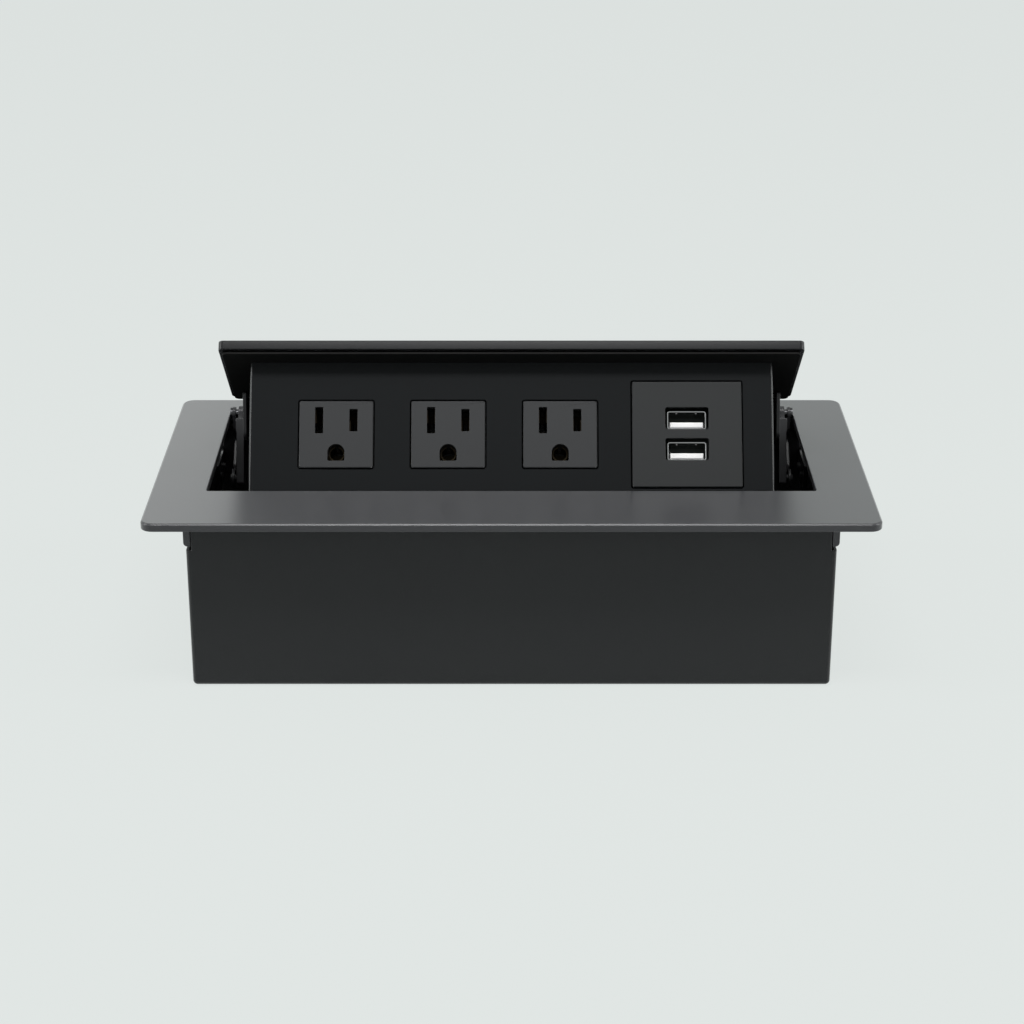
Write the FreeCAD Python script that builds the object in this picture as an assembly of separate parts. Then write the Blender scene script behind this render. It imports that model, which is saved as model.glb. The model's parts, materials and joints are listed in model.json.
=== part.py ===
import FreeCAD, Part
import math
import os

# Tilt-up socket module for a table top, in millimetres.
# X runs along the frame, Y goes to the back and Z goes up.
# The origin is the middle of the box's underside.
# The cartridge is drawn with its lid level and is then swung open about the hinge axis.

# Surface frame
frame_width = 265.0
frame_depth = 130.4
frame_thickness = 3.0
frame_corner_radius = 4.5
frame_bevel = 0.65
opening_depth = 82.4
rear_rim = 16.1
side_rim = 20.5
opening_corner_radius = 0.8
opening_bevel = 0.25
bead_groove_from_box = 0.6
bead_groove_width = 1.4
bead_groove_depth = 0.6

# Lip down each end of the box
lip_thickness = 2.6
lip_height = 12.0
lip_proud = 0.8
lip_corner_radius = 1.5
lip_from_corners = 0.6

# Box below the frame
box_height = 68.0
sheet = 1.2
box_front_to_opening = 17.9
box_rear_overhang = 8.0
box_side_overhang = 14.1
box_vertical_radius = 1.6
box_bottom_radius = 1.8
wall_below_lip = 1.4
front_flange_width = 9.0
rear_flange_width = 6.0
rear_flange_from_ends = 20.4
wall_to_lip_gap = 0.3

# Hinge axis and swing
axis_over_frame = 1.2
axis_inside_rear_edge = 3.0
tilt = 40.4

# Lid
lid_side_gap = 3.9
lid_front_gap = 4.8
lid_plate_thickness = 3.6
lid_shadow_gap = 0.5
liner_thickness = 0.9
liner_inset = 1.3
lid_underside_rise = 0.3
lid_corner_radius = 1.9
lid_inner_corner_radius = 1.0
lid_edge_round = 0.45
wide_part_before_axis = 24.7
tail_behind_axis = 1.1
shadow_gap_depth = 3.0

# Front panel of the cartridge
panel_side_gap = 15.0
room_below_panel = 13.0
panel_thickness = 2.5
panel_undercut = 8.78
panel_edge_round = 1.2
lid_overhang = 9.5

# Cartridge body behind the panel
shell_wall = 1.5
shell_to_gusset_flange = 0.4
shell_chamfer_height = 20.0
shell_bottom_depth = 12.0
shell_corner_radius = 2.5
shell_above_panel_foot = 0.4
end_cap_thickness = 2.5
cap_rib_depth = 3.0
cap_rib_thickness = 1.2
cap_rib_gap = 0.1
cap_bevel = 0.5

# Outlets
outlet_width = 27.4
outlet_height = 25.2
outlet_to_charger = 12.9
first_outlet_from_edge = 32.2
outlet_count = 3
outlet_gap = 0.45
outlet_proud = 0.4
outlet_face_thickness = 2.6
outlet_depth = 15.0
outlet_wall = 1.2
outlet_edge_bevel = 0.3
outlet_corner_radius = 0.6
row_above_panel_middle = 0.2
blade_spacing = 12.7
slot_width = 3.0
neutral_slot_height = 9.8
line_slot_height = 8.3
slot_corner_radius = 0.25
slots_above_centre = 5.3
ground_width = 6.3
ground_height = 6.2
ground_corner_radius = 0.6
ground_below_slots = 12.1

# Contact strips and their carrier
strip_behind_outlets = 0.4
strip_thickness = 0.8
strip_height = 3.0
strip_stagger = 3.0
finger_thickness = 0.5
finger_height = 5.0
finger_stagger = 2.0
finger_gap = 1.3
finger_length = 11.5
finger_flare = 0.6
finger_flare_length = 1.2
finger_root = 0.2
ground_cup_radius = 2.9
ground_cup_wall = 0.5
ground_cup_split = 1.2
carrier_thickness = 2.2
carrier_margin = 7.0
carrier_corner_radius = 1.5
carrier_posts_per_gap = 2.8
carrier_post_height = 3.0
carrier_post_margin = 0.5
carrier_post_radius = 0.5
terminal_ways = 3
terminal_pitch = 10.0
terminal_height = 10.0
terminal_depth = 6.5
terminal_bore_radius = 1.6
terminal_screw_radius = 1.3

# Charger unit
charger_from_edge = 32.1
charger_width = 40.6
charger_height = 39.8
charger_gap = 0.45
charger_proud = 0.6
charger_plate_thickness = 2.0
charger_plate_radius = 0.5
charger_plate_bevel = 0.3
port_width = 16.1
port_height = 8.15
port_corner_radius = 0.9
port_pitch = 11.65
ports_above_centre = 0.225
port_shell_width = 14.4
port_shell_height = 6.9
port_shell_wall = 0.4
port_shell_recess = 2.0
port_shell_length = 12.0
port_shell_radius = 1.0
port_shell_drop = 0.5
tongue_width = 12.3
tongue_thickness = 2.1
tongue_recess = 0.6
tongue_above_floor = 0.35
tongue_bevel = 0.3
dimple_spacing = 7.2
dimple_radius = 0.7
dimple_height = 0.35
dimple_from_mouth = 2.4
pin_strip_width = 1.0
pin_strip_thickness = 0.25
pin_strip_length = 6.5
pin_strip_pitch = 2.3
pin_strip_count = 4
pin_strip_recess = 1.0
charger_case_depth = 20.0
charger_case_wall = 1.5
charger_case_inset = 1.6
charger_case_radius = 1.5
board_thickness = 1.6
board_gap = 0.2

# Hinge parts on each side
arm_from_opening = 6.2
spring_room = 2.8
gusset_thickness = 1.4
gusset_flange_width = 13.6
gusset_flange_thickness = 1.2
gusset_front_reach = 10.4
gusset_front_drop = 17.0
gusset_front_set_back = 7.2
gusset_foot_below_rivet = 3.4
gusset_flange_reach = 6.0
gusset_flange_before_axis = 10.0
tail_to_gusset = 1.6
arm_width = 3.0
arm_shoulder_width = 3.3
knuckle_inset = 0.6
knuckle_width = 1.8
knuckle_radius = 3.0
arm_lean = 22.4
arm_front_offset = 4.5
arm_depth = 4.6
arm_start = 2.2
arm_shoulder_end = 7.5
arm_length = 28.4
arm_to_bracket = 0.6
bracket_thickness = 1.2
bracket_below_wall = 1.2
bracket_flange_height = 9.9
bracket_flange_length = 20.0
web_below_frame = 6.0
neck_half_width = 2.4
neck_to_opening = 0.4
neck_throat_before_axis = 8.0
neck_straight_below_top = 5.0
neck_waist_behind_axis = 1.0
neck_waist_below_frame = 7.0
neck_throat_below_frame = 15.0
neck_shoulder_below_frame = 5.0
neck_top_below_frame = 0.8
pin_radius = 1.5
pin_clearance = 0.04
pin_head_radius = 2.4
pin_head_thickness = 0.9
pin_clip_radius = 2.2
pin_clip_thickness = 0.8
stop_pin_from_end = 2.6
stop_slot_clearance = 0.15
stop_band_half_width = 3.7
rivet_along_arm = 9.0
rivet_behind_front = 1.5
rivet_radius = 1.2
rivet_head_radius = 2.0
rivet_head_thickness = 0.7
spacer_radius = 1.65
spring_wire = 0.65
spring_mean_radius = 2.15
spring_side_gap = 0.15
spring_bearing_gap = 0.05
spring_bend_swell = 0.02
spring_moving_leg = 12.0
spring_fixed_leg = 7.5

# Push latch on the floor of the box
latch_to_rear_edge = 51.1
latch_body_size = 12.0
latch_ear_length = 24.0
latch_ear_thickness = 1.6
latch_ear_width = 8.0
latch_floor = 0.8
latch_bore_radius = 3.1
latch_lip = 1.2
latch_top_gap = 0.35
plunger_stem_radius = 2.4
plunger_collar_radius = 3.0
plunger_collar_height = 1.2
plunger_collar_gap = 0.1
plunger_travel = 2.6
plunger_fit = 0.05
plunger_tip_radius = 3.4
plunger_tip_height = 1.5
keeper_thickness = 1.0
keeper_length = 14.0
keeper_width = 9.0
keeper_gap = 0.3
latch_spring_wire = 0.5
latch_spring_turns = 3.0
latch_spring_side_gap = 0.35
latch_spring_end_gap = 0.05

# Cord way
cord_from_end_wall = 43.4
grommet_height = 30.0
grommet_hole_radius = 6.5
grommet_bore_radius = 4.0
grommet_flange_radius = 8.6
grommet_inner_flange_radius = 7.8
grommet_flange = 2.4
grommet_edge_round = 0.8
bush_hole_radius = 5.5
bush_bore_radius = 3.6
bush_flange_radius = 7.2
bush_inner_flange_radius = 6.6
bush_flange = 1.8
bush_below_lid = 20.0
rubber_fit = 0.03

# Fasteners and clamp nuts
screw_radius = 1.25
screw_head_radius = 2.5
screw_head_height = 1.6
screw_clearance = 0.03
free_clearance = 0.35
frame_screw_depth = 2.2
frame_screw_from_flange_end = 18.0
lid_screw_depth = 2.2
bracket_screw_spacing = 10.0
bracket_screw_from_front = 4.0
bracket_screw_tip = 1.0
latch_screw_head_radius = 2.2
latch_screw_head_height = 1.4
clamp_hole_radius = 1.65
clamp_nut_flats = 7.0
clamp_nut_height = 3.0
clamp_spacing = 40.0
clamp_centre_y = -8.0
clamp_height = 30.0
shell_screw_from_front = 20.0
gusset_screw_spacing = 11.0
shell_screw_beside_outlets = 6.6
shell_screw_before_outlets = 9.5

# Positions that follow from the sizes above
frame_top = box_height + frame_thickness
opening_half = frame_width / 2 - side_rim
opening_rear = frame_depth / 2 - rear_rim
opening_front = opening_rear - opening_depth
box_half = frame_width / 2 - box_side_overhang
box_front = opening_front - box_front_to_opening
box_rear = frame_depth / 2 - box_rear_overhang
latch_y = opening_rear - latch_to_rear_edge
wall_inner = box_half - sheet
lip_outer = box_half + lip_proud
lip_inner = lip_outer - lip_thickness
upper_half = lip_inner - wall_to_lip_gap
side_wall_height = box_height - lip_height - wall_below_lip
axis_y = opening_rear - axis_inside_rear_edge
axis_z = frame_top + axis_over_frame
lid_half = opening_half - lid_side_gap
lid_under = box_height + lid_underside_rise
lid_front = opening_front + lid_front_gap
lid_wide_end = axis_y - wide_part_before_axis
lid_tail_end = axis_y + tail_behind_axis
lid_plate_bottom = lid_under + liner_thickness + lid_shadow_gap
lid_top = lid_plate_bottom + lid_plate_thickness
panel_half = opening_half - panel_side_gap
panel_height = box_height - room_below_panel
panel_top_y = lid_front + lid_overhang
undercut = math.radians(panel_undercut)
shell_half = panel_half - end_cap_thickness
shell_rear = lid_wide_end - gusset_flange_reach - shell_to_gusset_flange
shell_bottom = lid_under - panel_height * math.cos(undercut) + shell_above_panel_foot
arm_inner = opening_half - arm_from_opening
arm_outer = arm_inner + arm_width
knuckle_inner = arm_inner + knuckle_inset
knuckle_outer = knuckle_inner + knuckle_width
gusset_outer = arm_inner - spring_room
gusset_inner = gusset_outer - gusset_thickness
gusset_flange_inner = gusset_inner - gusset_flange_width
gusset_screw_x = (gusset_flange_inner + gusset_inner) / 2
tail_half = gusset_inner - tail_to_gusset
bracket_inner = arm_outer + arm_to_bracket
bracket_outer = bracket_inner + bracket_thickness
bracket_rear = box_rear - sheet
bracket_front = bracket_rear - bracket_flange_length
bracket_base = side_wall_height - bracket_below_wall
bracket_foot = bracket_base - bracket_flange_height
web_top = box_height - web_below_frame
charger_x = panel_half - charger_from_edge
first_outlet = first_outlet_from_edge - panel_half
last_outlet = charger_x - charger_width / 2 - outlet_to_charger - outlet_width / 2
outlet_pitch = (last_outlet - first_outlet) / (outlet_count - 1)
outlet_centres = [first_outlet + i * outlet_pitch for i in range(outlet_count)]
carrier_post_width = (outlet_pitch - outlet_width) / carrier_posts_per_gap
row_centre_down = panel_height / 2 - row_above_panel_middle
slots_down = row_centre_down - slots_above_centre
ground_down = slots_down + ground_below_slots
strip_y = outlet_depth + strip_behind_outlets
carrier_y = strip_y + strip_thickness
strip_left = outlet_centres[0] - outlet_width / 2
strip_right = outlet_centres[-1] + outlet_width / 2
port_downs = [row_centre_down - ports_above_centre + side * port_pitch / 2 for side in (-1, 1)]
shell_mouth = port_shell_recess - charger_proud
shell_end = shell_mouth + port_shell_length
charger_back = charger_plate_thickness - charger_proud
shell_screw_xs = [strip_left - shell_screw_before_outlets, strip_right + shell_screw_beside_outlets]
shell_screw_y = panel_top_y + shell_screw_from_front
gusset_screw_ys = [lid_wide_end, lid_wide_end + gusset_screw_spacing]
cord_x = cord_from_end_wall - box_half
bush_z = lid_under - bush_below_lid
keeper_bottom = shell_bottom - keeper_thickness
plunger_tip = keeper_bottom - keeper_gap
plunger_head_bottom = plunger_tip - plunger_tip_height
latch_top = plunger_head_bottom - plunger_travel - latch_top_gap
collar_top = latch_top - latch_lip - plunger_collar_gap
collar_bottom = collar_top - plunger_collar_height
latch_screw_x = (latch_ear_length + latch_body_size) / 4
frame_screw_spacing = box_half - rear_flange_from_ends - frame_screw_from_flange_end
frame_screw_xs = [-frame_screw_spacing, 0.0, frame_screw_spacing]
frame_screw_ys = [box_front + sheet + front_flange_width / 2, bracket_rear - rear_flange_width / 2]
bracket_screw_z = (bracket_base + bracket_foot) / 2
bracket_screw_ys = [bracket_front + bracket_screw_from_front + i * bracket_screw_spacing for i in range(2)]
X_AXIS = FreeCAD.Vector(1, 0, 0)
ORIGIN = FreeCAD.Vector(0, 0, 0)


def vec(x, y, z):
    return FreeCAD.Vector(x, y, z)


def rect(u0, u1, v0, v1):
    return [(u0, v0), (u1, v0), (u1, v1), (u0, v1)]


def rounded_wire(points, radii, place):
    """Closed wire through plane corners, each rounded by its own radius."""
    if not isinstance(radii, (list, tuple)):
        radii = [radii] * len(points)
    corners = []
    for i, (u, v) in enumerate(points):
        before = points[i - 1]
        after = points[(i + 1) % len(points)]
        a = vec(before[0] - u, before[1] - v, 0).normalize()
        b = vec(after[0] - u, after[1] - v, 0).normalize()
        here = vec(u, v, 0)
        if radii[i] <= 0:
            corners.append((here, None, here))
            continue
        half = a.getAngle(b) / 2
        middle = (a + b).normalize()
        centre = here + middle * (radii[i] / math.sin(half))
        reach = radii[i] / math.tan(half)
        corners.append((here + a * reach, centre - middle * radii[i], here + b * reach))
    edges = []
    for i, (enter, mid, leave) in enumerate(corners):
        last = corners[i - 1][2]
        if (enter - last).Length > 1e-6:
            edges.append(Part.LineSegment(place(last.x, last.y), place(enter.x, enter.y)).toShape())
        if mid is not None:
            arc = Part.Arc(place(enter.x, enter.y), place(mid.x, mid.y), place(leave.x, leave.y))
            edges.append(arc.toShape())
    return Part.Wire(edges)


def plan_slab(points, radii, z0, z1):
    """Outline in X and Y, raised from z0 to z1."""
    wire = rounded_wire(points, radii, lambda u, v: vec(u, v, z0))
    return Part.Face(wire).extrude(vec(0, 0, z1 - z0))


def side_slab(points, radii, x0, x1):
    """Outline in Y and Z, extruded from x0 to x1."""
    wire = rounded_wire(points, radii, lambda u, v: vec(x0, u, v))
    return Part.Face(wire).extrude(vec(x1 - x0, 0, 0))


def face_slab(points, radii, y0, y1):
    """Outline in X and Z, extruded from y0 to y1."""
    wire = rounded_wire(points, radii, lambda u, v: vec(u, y0, v))
    return Part.Face(wire).extrude(vec(0, y1 - y0, 0))


def block(x0, x1, y0, y1, z0, z1):
    return Part.makeBox(x1 - x0, y1 - y0, z1 - z0, vec(x0, y0, z0))


def rod(radius, start, end):
    along = end - start
    return Part.makeCylinder(radius, along.Length, start, along)


def rod_x(radius, x0, x1, y, z):
    return rod(radius, vec(x0, y, z), vec(x1, y, z))


def rod_y(radius, y0, y1, x, z):
    return rod(radius, vec(x, y0, z), vec(x, y1, z))


def rod_z(radius, z0, z1, x, y):
    return rod(radius, vec(x, y, z0), vec(x, y, z1))


def mirrored(shape):
    return shape.mirror(ORIGIN, X_AXIS)


def cut_all(shape, tools):
    for tool in tools:
        shape = shape.cut(tool)
    return shape


def fuse_all(shapes):
    whole = shapes[0]
    for other in shapes[1:]:
        whole = whole.fuse(other)
    return whole.removeSplitter()


def soften(shape, size, chosen, bevel=False):
    """Rounds or bevels the edges that the chosen test picks."""
    edges = [e for e in shape.Edges if chosen(e)]
    if bevel:
        return shape.makeChamfer(size, edges)
    return shape.makeFillet(size, edges)


def level(edge, z):
    """True for an edge that lies wholly at one height."""
    box = edge.BoundBox
    return abs(box.ZMin - z) < 1e-4 and abs(box.ZMax - z) < 1e-4


def flush(edge, y):
    """True for an edge that lies wholly at one depth."""
    box = edge.BoundBox
    return abs(box.YMin - y) < 1e-4 and abs(box.YMax - y) < 1e-4


def opened(shape):
    """Swings a piece of the level cartridge up to its open position."""
    turned = shape.copy()
    turned.rotate(vec(0, axis_y, axis_z), X_AXIS, -tilt)
    return turned


def on_panel(shape):
    """Moves a piece drawn against an upright panel onto the leaning panel, then opens it."""
    moved = shape.copy()
    moved.rotate(ORIGIN, X_AXIS, panel_undercut)
    moved.translate(vec(0, panel_top_y, lid_under))
    return opened(moved)


def screw(tip, seat, head_radius=screw_head_radius, head_height=screw_head_height):
    """Pan-head screw from the shank's end to the bearing face of its head."""
    along = (seat - tip).normalize()
    shank = rod(screw_radius, tip, seat)
    cap = rod(head_radius, seat, seat + along * head_height)
    rims = [e for e in cap.Edges if e.Curve.TypeId == "Part::GeomCircle"]
    far = max(rims, key=lambda e: (e.CenterOfMass - tip).Length)
    cap = cap.makeFillet(head_height * 0.45, [far])
    socket = rod(head_radius * 0.45, seat + along * (head_height * 0.4), seat + along * (head_height + 1))
    return shank.fuse(cap).removeSplitter().cut(socket)


def round_wire(path, start, direction, wire):
    """Round wire drawn along a path from its start point."""
    section = Part.Wire([Part.Circle(start, direction, wire / 2).toShape()])
    return path.makePipeShell([section], True, False, 0)


def bead_groove():
    """Groove for a sealing bead in the frame's underside, all round the box."""
    def ring(out):
        half = lip_outer + out
        outline = rect(-half, half, box_front - out, box_rear + out)
        return plan_slab(outline, box_vertical_radius + out, box_height - 1, box_height + bead_groove_depth)
    return ring(bead_groove_from_box + bead_groove_width).cut(ring(bead_groove_from_box))


def frame_piece():
    """Bevelled plate with the opening, and a lip down each end of the box."""
    outer = rect(-frame_width / 2, frame_width / 2, -frame_depth / 2, frame_depth / 2)
    plate = plan_slab(outer, frame_corner_radius, box_height, frame_top)
    plate = soften(plate, frame_bevel, lambda e: level(e, frame_top), bevel=True)
    hole = rect(-opening_half, opening_half, opening_front, opening_rear)
    hole_tool = plan_slab(hole, opening_corner_radius, box_height - 1, frame_top + 1)
    plate = plate.cut(hole_tool)
    limits = hole_tool.BoundBox
    limits.enlarge(0.1)
    inner_rim = lambda e: level(e, frame_top) and limits.isInside(e.BoundBox)
    plate = soften(plate, opening_bevel, inner_rim, bevel=True)
    outline = rect(lip_inner, lip_outer, box_height - lip_height, box_height)
    lip_ends = box_front + lip_from_corners, box_rear - lip_from_corners
    lip = face_slab(outline, [0, lip_corner_radius, 0, 0], *lip_ends)
    body = fuse_all([plate, lip, mirrored(lip)])
    top = box_height + frame_screw_depth + 0.2
    tapped = [rod_z(screw_radius + screw_clearance, box_height - 1, top, x, y)
              for x in frame_screw_xs for y in frame_screw_ys]
    return cut_all(body, tapped + [bead_groove()])


def clamp_points():
    return [(side, clamp_centre_y + way * clamp_spacing / 2) for way in (-1, 1) for side in (-1, 1)]


def box_piece():
    """Folded pan with two inward top flanges, and its holes."""
    outer = plan_slab(rect(-box_half, box_half, box_front, box_rear), box_vertical_radius, 0, box_height)
    outer = soften(outer, box_bottom_radius, lambda e: level(e, 0))
    inner_outline = rect(-wall_inner, wall_inner, box_front + sheet, bracket_rear)
    inner = plan_slab(inner_outline, box_vertical_radius - sheet, sheet, box_height + 1)
    inner = soften(inner, box_bottom_radius - sheet, lambda e: level(e, sheet))
    pan = outer.cut(inner)
    for side in (-1, 1):
        low, high = sorted((side * upper_half, side * (box_half + 1)))
        pan = pan.cut(block(low, high, box_front - 1, box_rear + 1, side_wall_height, box_height + 1))
    under = box_height - sheet
    front_flange = block(-upper_half, upper_half, box_front + sheet / 2,
                         box_front + sheet + front_flange_width, under, box_height)
    half = box_half - rear_flange_from_ends
    rear_flange = block(-half, half, bracket_rear - rear_flange_width,
                        box_rear - sheet / 2, under, box_height)
    pan = fuse_all([pan, front_flange, rear_flange])
    pan = soften(pan, sheet * 0.8, lambda e: level(e, box_height) and flush(e, box_front))
    holes = [rod_z(screw_radius + free_clearance, under - 1, box_height + 1, x, y)
             for x in frame_screw_xs for y in frame_screw_ys]
    for side in (-1, 1):
        ends = sorted((side * (wall_inner - 1), side * (box_half + 1)))
        clamp_ys = [y for way, y in clamp_points() if way == side]
        holes += [rod_x(clamp_hole_radius, *ends, y, clamp_height) for y in clamp_ys]
        holes += [rod_x(screw_radius + free_clearance, *ends, y, bracket_screw_z) for y in bracket_screw_ys]
        holes.append(rod_z(screw_radius + screw_clearance, -1, sheet + 1, side * latch_screw_x, latch_y))
    holes.append(rod_y(grommet_hole_radius, bracket_rear - 1, box_rear + 1, cord_x, grommet_height))
    return cut_all(pan, holes)


def frame_screws():
    tip = box_height + frame_screw_depth
    seat = box_height - sheet
    return [screw(vec(x, y, tip), vec(x, y, seat)) for x in frame_screw_xs for y in frame_screw_ys]


def clamp_nuts():
    """Hexagonal weld nuts on the inner faces of the end walls."""
    corner = clamp_nut_flats / 2 / math.cos(math.radians(30))
    solids = []
    for side, y in clamp_points():
        angles = [math.radians(60 * k) for k in range(6)]
        outline = [(y + corner * math.cos(a), clamp_height + corner * math.sin(a)) for a in angles]
        nut = side_slab(outline, 0, side * (wall_inner - clamp_nut_height), side * wall_inner)
        ends = sorted((side * (wall_inner - clamp_nut_height - 1), side * (wall_inner + 1)))
        solids.append(nut.cut(rod_x(clamp_hole_radius, *ends, y, clamp_height)))
    return solids


# Hinge geometry in the open position
lean = math.radians(arm_lean)


def arm_point(down, back):
    """Point of the open arm: down its length, and back from the hinge axis."""
    return (axis_y - down * math.sin(lean) + back * math.cos(lean),
            axis_z - down * math.cos(lean) - back * math.sin(lean))


def level_point(point):
    """Where a point of the open cartridge lies when the lid is level."""
    angle = math.radians(tilt)
    y = point[0] - axis_y
    z = point[1] - axis_z
    return (axis_y + y * math.cos(angle) - z * math.sin(angle),
            axis_z + y * math.sin(angle) + z * math.cos(angle))


arm_front = -arm_front_offset
arm_back = arm_front + arm_depth
stop_point = arm_point(arm_length - stop_pin_from_end, arm_front + arm_depth / 2)
stop_radius = math.hypot(stop_point[0] - axis_y, stop_point[1] - axis_z)
stop_angle = math.atan2(stop_point[1] - axis_z, stop_point[0] - axis_y)
rivet_point = arm_point(rivet_along_arm, arm_front + rivet_behind_front)
rivet_level = level_point(rivet_point)


def arc_band(radius, half_width, x0, x1):
    """Round-ended band about the hinge axis, over the stop pin's whole swing."""
    def at(r, angle):
        return vec(x0, axis_y + r * math.cos(angle), axis_z + r * math.sin(angle))
    start = stop_angle
    end = stop_angle + math.radians(tilt)
    middle = (start + end) / 2
    cap = half_width / radius
    outer = radius + half_width
    inner = radius - half_width
    edges = [
        Part.Arc(at(outer, start), at(outer, middle), at(outer, end)).toShape(),
        Part.Arc(at(outer, end), at(radius, end + cap), at(inner, end)).toShape(),
        Part.Arc(at(inner, end), at(inner, middle), at(inner, start)).toShape(),
        Part.Arc(at(inner, start), at(radius, start - cap), at(outer, start)).toShape(),
    ]
    return Part.Face(Part.Wire(edges)).extrude(vec(x1 - x0, 0, 0))


def hinge_bracket():
    """Folded channel: slotted inner cheek, rear web and outer cheek screwed to the end wall."""
    neck_rear = opening_rear - neck_to_opening
    throat = axis_y - neck_throat_before_axis
    band_top = axis_z - stop_radius
    neck = [
        (axis_y - neck_half_width, axis_z),
        (axis_y - neck_half_width, frame_top - neck_straight_below_top),
        (axis_y + neck_waist_behind_axis, box_height - neck_waist_below_frame),
        (throat, box_height - neck_throat_below_frame),
        (throat, band_top),
        (bracket_rear, band_top),
        (bracket_rear, box_height - neck_shoulder_below_frame),
        (neck_rear, box_height - neck_top_below_frame),
        (neck_rear, axis_z),
    ]
    radii = [0, 1.5, 2.0, 1.5, 0, 0, 1.5, 1.0, 0]
    cheek = fuse_all([
        side_slab(neck, radii, bracket_inner, bracket_outer),
        rod_x(neck_half_width + 0.2, bracket_inner, bracket_outer, axis_y, axis_z),
        arc_band(stop_radius, stop_band_half_width, bracket_inner, bracket_outer),
    ])
    web_front = bracket_rear - bracket_thickness
    flange_inner = wall_inner - bracket_thickness
    fold = [
        (bracket_inner, web_front),
        (flange_inner, web_front),
        (flange_inner, bracket_front),
        (wall_inner, bracket_front),
        (wall_inner, bracket_rear),
        (bracket_inner, bracket_rear),
    ]
    low = plan_slab(fold, [0, 0.4, 0, 0, bracket_thickness, 0], bracket_foot, bracket_base)
    high = block(bracket_inner, upper_half, web_front, bracket_rear, bracket_base - 1.0, web_top)
    tools = [
        arc_band(stop_radius, pin_radius + stop_slot_clearance, bracket_inner - 1, bracket_outer + 1),
        rod_x(pin_radius + pin_clearance, bracket_inner - 1, bracket_outer + 1, axis_y, axis_z),
    ]
    for y in bracket_screw_ys:
        tools.append(rod_x(screw_radius + screw_clearance, flange_inner - 1, wall_inner + 1,
                           y, bracket_screw_z))
    return cut_all(fuse_all([cheek, low, high]), tools)


def bracket_screws():
    tip = wall_inner - bracket_thickness - bracket_screw_tip
    return [screw(vec(side * tip, y, bracket_screw_z), vec(side * box_half, y, bracket_screw_z))
            for y in bracket_screw_ys for side in (-1, 1)]


def hinge_arm():
    """Swing arm: thin knuckle at the axis, wider shoulder, long strip and the stop pin."""
    knuckle = rod_x(knuckle_radius, knuckle_inner, knuckle_outer, axis_y, axis_z)
    sides = knuckle_radius - 0.1
    neck_outline = [arm_point(0, -sides), arm_point(0, sides), arm_point(arm_shoulder_end, arm_back),
                    arm_point(arm_shoulder_end, arm_front)]
    neck = side_slab(neck_outline, 0, knuckle_inner, knuckle_outer)
    shoulder_outline = [arm_point(arm_start, arm_front), arm_point(arm_start, arm_back),
                        arm_point(arm_shoulder_end, arm_back), arm_point(arm_shoulder_end, arm_front)]
    shoulder = side_slab(shoulder_outline, [0.5, 0.5, 0, 0], arm_inner, arm_inner + arm_shoulder_width)
    strip_outline = [arm_point(arm_start + 1, arm_front), arm_point(arm_start + 1, arm_back),
                     arm_point(arm_length, arm_back), arm_point(arm_length, arm_front)]
    strip = side_slab(strip_outline, [0, 0, 2.0, 1.0], arm_inner, arm_outer)
    stop = rod_x(pin_radius, arm_outer - 1, bracket_outer + 0.8, *stop_point)
    tools = [
        rod_x(pin_radius + pin_clearance, arm_inner - 1, arm_outer + 2, axis_y, axis_z),
        rod_x(rivet_radius + pin_clearance, arm_inner - 1, arm_outer + 2, *rivet_point),
    ]
    return cut_all(fuse_all([knuckle, neck, shoulder, strip, stop]), tools)


def hinge_gusset():
    """Bent side plate that carries the lid on the hinge axis."""
    rear = axis_y + neck_half_width
    foot = rivet_level[1] - gusset_foot_below_rivet
    front = lid_wide_end - gusset_front_reach
    outline = [
        (front, lid_under),
        (front + gusset_front_set_back, lid_under - gusset_front_drop),
        (rivet_level[0], foot),
        (rear, foot),
        (rear, axis_z),
        (axis_y - neck_half_width, axis_z),
        (axis_y - 8.0, lid_under),
    ]
    flange_outline = rect(gusset_flange_inner, gusset_outer - 0.1, lid_wide_end - gusset_flange_reach,
                          axis_y - gusset_flange_before_axis)
    under = lid_under - gusset_flange_thickness
    body = fuse_all([
        side_slab(outline, [0.8, 3.0, 2.0, 2.0, 0, 0, 2.0], gusset_inner, gusset_outer),
        rod_x(neck_half_width + 0.2, gusset_inner, gusset_outer, axis_y, axis_z),
        plan_slab(flange_outline, [3.0, 0, 0, 3.0], under, lid_under),
    ])
    tools = [
        rod_x(pin_radius + pin_clearance, gusset_inner - 1, gusset_outer + 1, axis_y, axis_z),
        rod_x(rivet_radius + pin_clearance, gusset_inner - 1, gusset_outer + 1, *rivet_level),
    ]
    tools += [rod_z(screw_radius + free_clearance, under - 1, lid_under + 1, gusset_screw_x, y)
              for y in gusset_screw_ys]
    return opened(cut_all(body, tools))


def hinge_pin():
    """Headed pin through side plate, arm and bracket, with its clip outside."""
    return fuse_all([
        rod_x(pin_head_radius, gusset_inner - pin_head_thickness, gusset_inner, axis_y, axis_z),
        rod_x(pin_radius, gusset_inner, bracket_outer + 0.2, axis_y, axis_z),
        rod_x(pin_clip_radius, bracket_outer + 0.1, bracket_outer + 0.1 + pin_clip_thickness, axis_y, axis_z),
    ])


def arm_rivet():
    """Shouldered rivet that keeps the arm and the side plate apart and in line."""
    return fuse_all([
        rod_x(rivet_head_radius, gusset_inner - rivet_head_thickness, gusset_inner, *rivet_point),
        rod_x(rivet_radius, gusset_inner, arm_outer, *rivet_point),
        rod_x(spacer_radius, gusset_outer, arm_inner, *rivet_point),
    ])


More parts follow.
